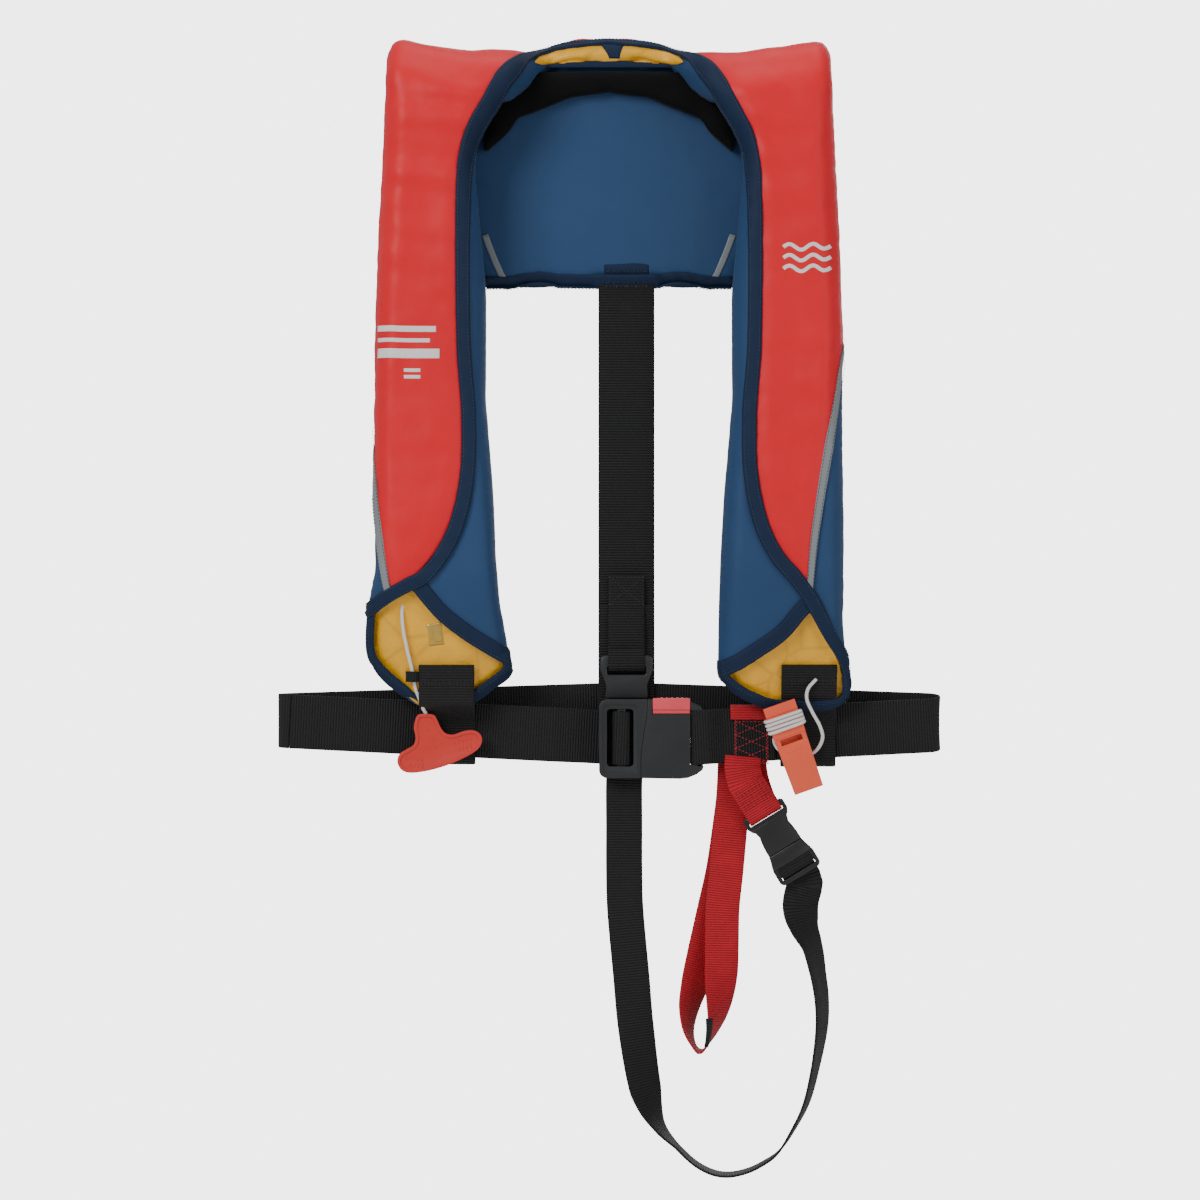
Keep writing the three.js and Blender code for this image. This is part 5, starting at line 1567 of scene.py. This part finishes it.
# ---- stitches: one small Geometry Nodes tree lays a thread's stitches along drawn rows
def stitchTree(paint):
    tree = bpy.data.node_groups.new("stitches" + paint[0].upper() + paint[1:], "GeometryNodeTree")
    face = tree.interface
    face.new_socket("rows", in_out="INPUT", socket_type="NodeSocketGeometry")
    for name, value in (("spacing", 3.2), ("length", 2.3), ("thickness", 0.6)):
        face.new_socket(name, in_out="INPUT", socket_type="NodeSocketFloat").default_value = value * mm
    face.new_socket("thread", in_out="OUTPUT", socket_type="NodeSocketGeometry")

    def add(kind, **settings):
        made = tree.nodes.new(kind)
        for key, value in settings.items():
            setattr(made, key, value)
        return made

    def wire(a, out, b, into):
        tree.links.new(a.outputs[out], b.inputs[into])

    start = add("NodeGroupInput")
    rows = add("GeometryNodeMeshToCurve")
    spaced = add("GeometryNodeResampleCurve", mode="LENGTH")
    along = add("GeometryNodeInputTangent")
    turn = add("FunctionNodeAlignRotationToVector", axis="X")
    bead = add("GeometryNodeMeshUVSphere")
    bead.inputs["Segments"].default_value = 8
    bead.inputs["Rings"].default_value = 6
    bead.inputs["Radius"].default_value = 0.5
    size = add("ShaderNodeCombineXYZ")
    shape = add("GeometryNodeTransform")
    place = add("GeometryNodeInstanceOnPoints")
    real = add("GeometryNodeRealizeInstances")
    smooth = add("GeometryNodeSetShadeSmooth")
    colour = add("GeometryNodeSetMaterial")
    colour.inputs["Material"].default_value = paints[paint]
    end = add("NodeGroupOutput")
    wire(start, "rows", rows, "Mesh")
    wire(rows, "Curve", spaced, "Curve")
    wire(start, "spacing", spaced, "Length")
    wire(along, 0, turn, "Vector")
    wire(start, "length", size, "X")
    wire(start, "thickness", size, "Y")
    wire(start, "thickness", size, "Z")
    wire(bead, "Mesh", shape, "Geometry")
    wire(size, 0, shape, "Scale")
    wire(spaced, "Curve", place, "Points")
    wire(shape, "Geometry", place, "Instance")
    wire(turn, 0, place, "Rotation")
    wire(place, "Instances", real, "Geometry")
    wire(real, "Geometry", smooth, "Geometry")
    wire(smooth, "Geometry", colour, "Geometry")
    wire(colour, "Geometry", end, "thread")
    return tree


stitchTrees = {}


def sewn(name, rows, paint, body, slotName, spacing=3.2, length=2.3, thickness=0.6):
    points = []
    edges = []
    for row in rows:
        start = len(points)
        points += [tuple(Vector(p) * mm) for p in row]
        edges += [(start + i, start + i + 1) for i in range(len(row) - 1)]
    mesh = bpy.data.meshes.new(name)
    mesh.from_pydata(points, edges, [])
    mesh.materials.append(paints[paint])
    piece = bpy.data.objects.new(name, mesh)
    bpy.context.scene.collection.objects.link(piece)
    if paint not in stitchTrees:
        stitchTrees[paint] = stitchTree(paint)
    thread = piece.modifiers.new("thread", "NODES")
    thread.node_group = stitchTrees[paint]
    sizes = {"spacing": spacing, "length": length, "thickness": thickness}
    for item in thread.node_group.interface.items_tree:
        if item.in_out == "INPUT" and item.name in sizes:
            thread[item.identifier] = sizes[item.name] * mm
    baked(piece)
    return declare(piece, body, slotName)


def alongTape(path, offset, height, side=1, step=2.5, lift=None):
    flat = [Vector((x, t, 0)) for x, t in path]
    line = catmull(flat, max(8, int(pathLength(flat) / step)))
    result = []
    for i, here in enumerate(line):
        way = wayAlong(line, i)
        spot = here + Vector((way.y, -way.x, 0)) * offset
        result.append(rimPoint(spot, height + (lift(spot.x, spot.y) if lift else 0), side))
    return result


def boxStitch(x0, x1, z0, z1, y, crosses=3):
    # a sewn box filled with crosses, one above the other
    def corner(x, z):
        return Vector((x, y, z))

    rows = [[corner(x0, z0), corner(x1, z0)], [corner(x1, z0), corner(x1, z1)],
            [corner(x1, z1), corner(x0, z1)], [corner(x0, z1), corner(x0, z0)]]
    for k in range(crosses):
        low = mix(z0, z1, k / crosses)
        high = mix(z0, z1, (k + 1) / crosses)
        rows += [[corner(x0, low), corner(x1, high)], [corner(x1, low), corner(x0, high)]]
    return rows


navyRows = [alongTape(bindingPath, offset, 4.3) for offset in (-4.3, 4.3)]
for side, sign in signs.items():
    navyRows.append(alongTape(sided(onFront(flapLine[side]), sign), -4.2 * sign, 2.75))
    navyRows.append(alongTape(sided(onFront(footLine[side]), sign), 2.6 * sign, 2.9))
    for offset in (-2.6, 2.6):
        navyRows.append(alongTape(sided(onFront(stripLine[side]), sign), offset, 3.05))
navyRows.append(alongTape(hemLine, -3.6, 1.95, side=-1, lift=overStrap))
navyRows.append(alongTape(hemLine, -3.4, 4.55))
sewn("navyStitching", navyRows, "navyThread", "jacket", "navy_binding", 3.0, 2.2, 0.55)
redRows = boxStitch(108, 134, -594.5, -560.5, -3.7, 3) + boxStitch(107, 135, -596, -559, -3.7, 0)
sewn("redStitching", redRows, "redThread", "jacket", "red_webbing", 2.9, 2.2, 0.75)
patchY = surfacePoint(*back(15, -180), 1.0, -1).y
blackRows = boxStitch(-2, 32, -189, -173.5, patchY, 0)
for k in range(4):  # crosses only, without the sides of their boxes
    blackRows += boxStitch(-2 + 8.5 * k, 6.5 + 8.5 * k, -189, -173.5, patchY, 1)[4:]
blackRows += boxStitch(1, 29, -461, -438, 18.9, 1)
for x in loopX.values():
    for z in (-528, -525.5):
        blackRows.append([Vector((x + a, skinY(x, z) - 3.95, z)) for a in (-21, 21)])
sewn("blackStitching", blackRows, "blackThread", "jacket", "black_webbing", 3.0, 2.2, 0.65)
tack = {"tabRows": 6, "tabPitch": 3.2, "loopRows": 7, "loopPitch": 3.4}
tabRows = []
for k in range(tack["tabRows"]):
    z = 12 + tack["tabPitch"] * k
    tabRows.append([onClip(-12, -6.35, z), onClip(12, -6.35, z)])
loopRows = []
for k in range(tack["loopRows"]):
    z = -655 - tack["loopPitch"] * k
    y = 4.1 + (z + 688) * 0.055
    slip = 0.18 * k * tack["loopPitch"]
    loopRows.append([Vector((92 - slip, y, z)), Vector((113 - slip, y, z))])
sewn("darkRedStitching", tabRows + loopRows, "wineThread", "jacket", "red_webbing", 3.2, 1.9, 0.6)
print("stitches made")


# ---- plain printed marks on the cover
def onCover(x, t):
    return cover["high"] + cover["bulge"] + 0.15 + folds(x, t, cover["wrinkle"])


def printed(name, rows, width):
    pieces = [tape("%s%d" % (name, i), onFront(row), width[i], "white", -0.3, 0.12, step=1.5, wave=0,
                   lift=onCover) for i, row in enumerate(rows)]
    return declare(joined(name, pieces), "jacket", "reflective")


wave = {"start": 146, "length": 40, "swing": 2.4, "turns": 2, "rows": (-162, -171, -180), "width": 3.2}
waveRows = []
for z in wave["rows"]:
    swings = [(k, math.sin(k / wave["length"] * 2 * wave["turns"] * math.pi))
              for k in range(0, wave["length"] + 1, 2)]
    waveRows.append([(wave["start"] + k, z + wave["swing"] * swing) for k, swing in swings])
printed("waveMarks", waveRows, [wave["width"]] * len(waveRows))
plain = [[(x0, z), ((x0 + x1) / 2, z), (x1, z)] for x0, x1, z in (
    (-193, -145, -230.5), (-193, -150, -240), (-193, -142, -251), (-172, -158, -265), (-172, -158, -270.5))]
printed("barMarks", plain, (5.0, 3.4, 8.0, 3.0, 3.0))


# ---- clear pocket over the inflator's indicator
def pocket(x, t):
    return skin["high"] - footDepth(x, t) + folds(x, t, skin["crease"])


pocketPieces = [
    tape("pocketFlap", onFront([(-147.5, -477), (-146, -486), (-145, -495)]), 13, "clear", -0.3, 0.35,
         wave=0.3, step=2.0, lift=pocket),
    tape("pocketSign", onFront([(-144.0, -484.0), (-143.6, -488.0), (-143.2, -492.0)]), 6.0, "window",
         -0.2, 0.7, wave=0, step=1.5, lift=pocket),
    tape("pocketLabel", onFront([(-149.6, -482.0), (-149.4, -486.0), (-149.2, -490.0)]), 2.0, "white",
         -0.2, 0.6, wave=0, step=1.5, lift=pocket)]
pocketPiece = joined("indicatorPocket", pocketPieces)
declare(pocketPiece, "jacket", "clear_plastic", "inflator_window")

# ---- pale floor
floor = {"halfWidth": 6.0, "near": -6.0, "far": 4.6, "height": -1.6}
wide = floor["halfWidth"]
floorCorners = [(-wide, floor["near"]), (wide, floor["near"]), (wide, floor["far"]), (-wide, floor["far"])]
floorPiece = newPiece("floor", [(x, y, floor["height"]) for x, y in floorCorners], [(0, 1, 2, 3)], "floor",
                      smooth=False)
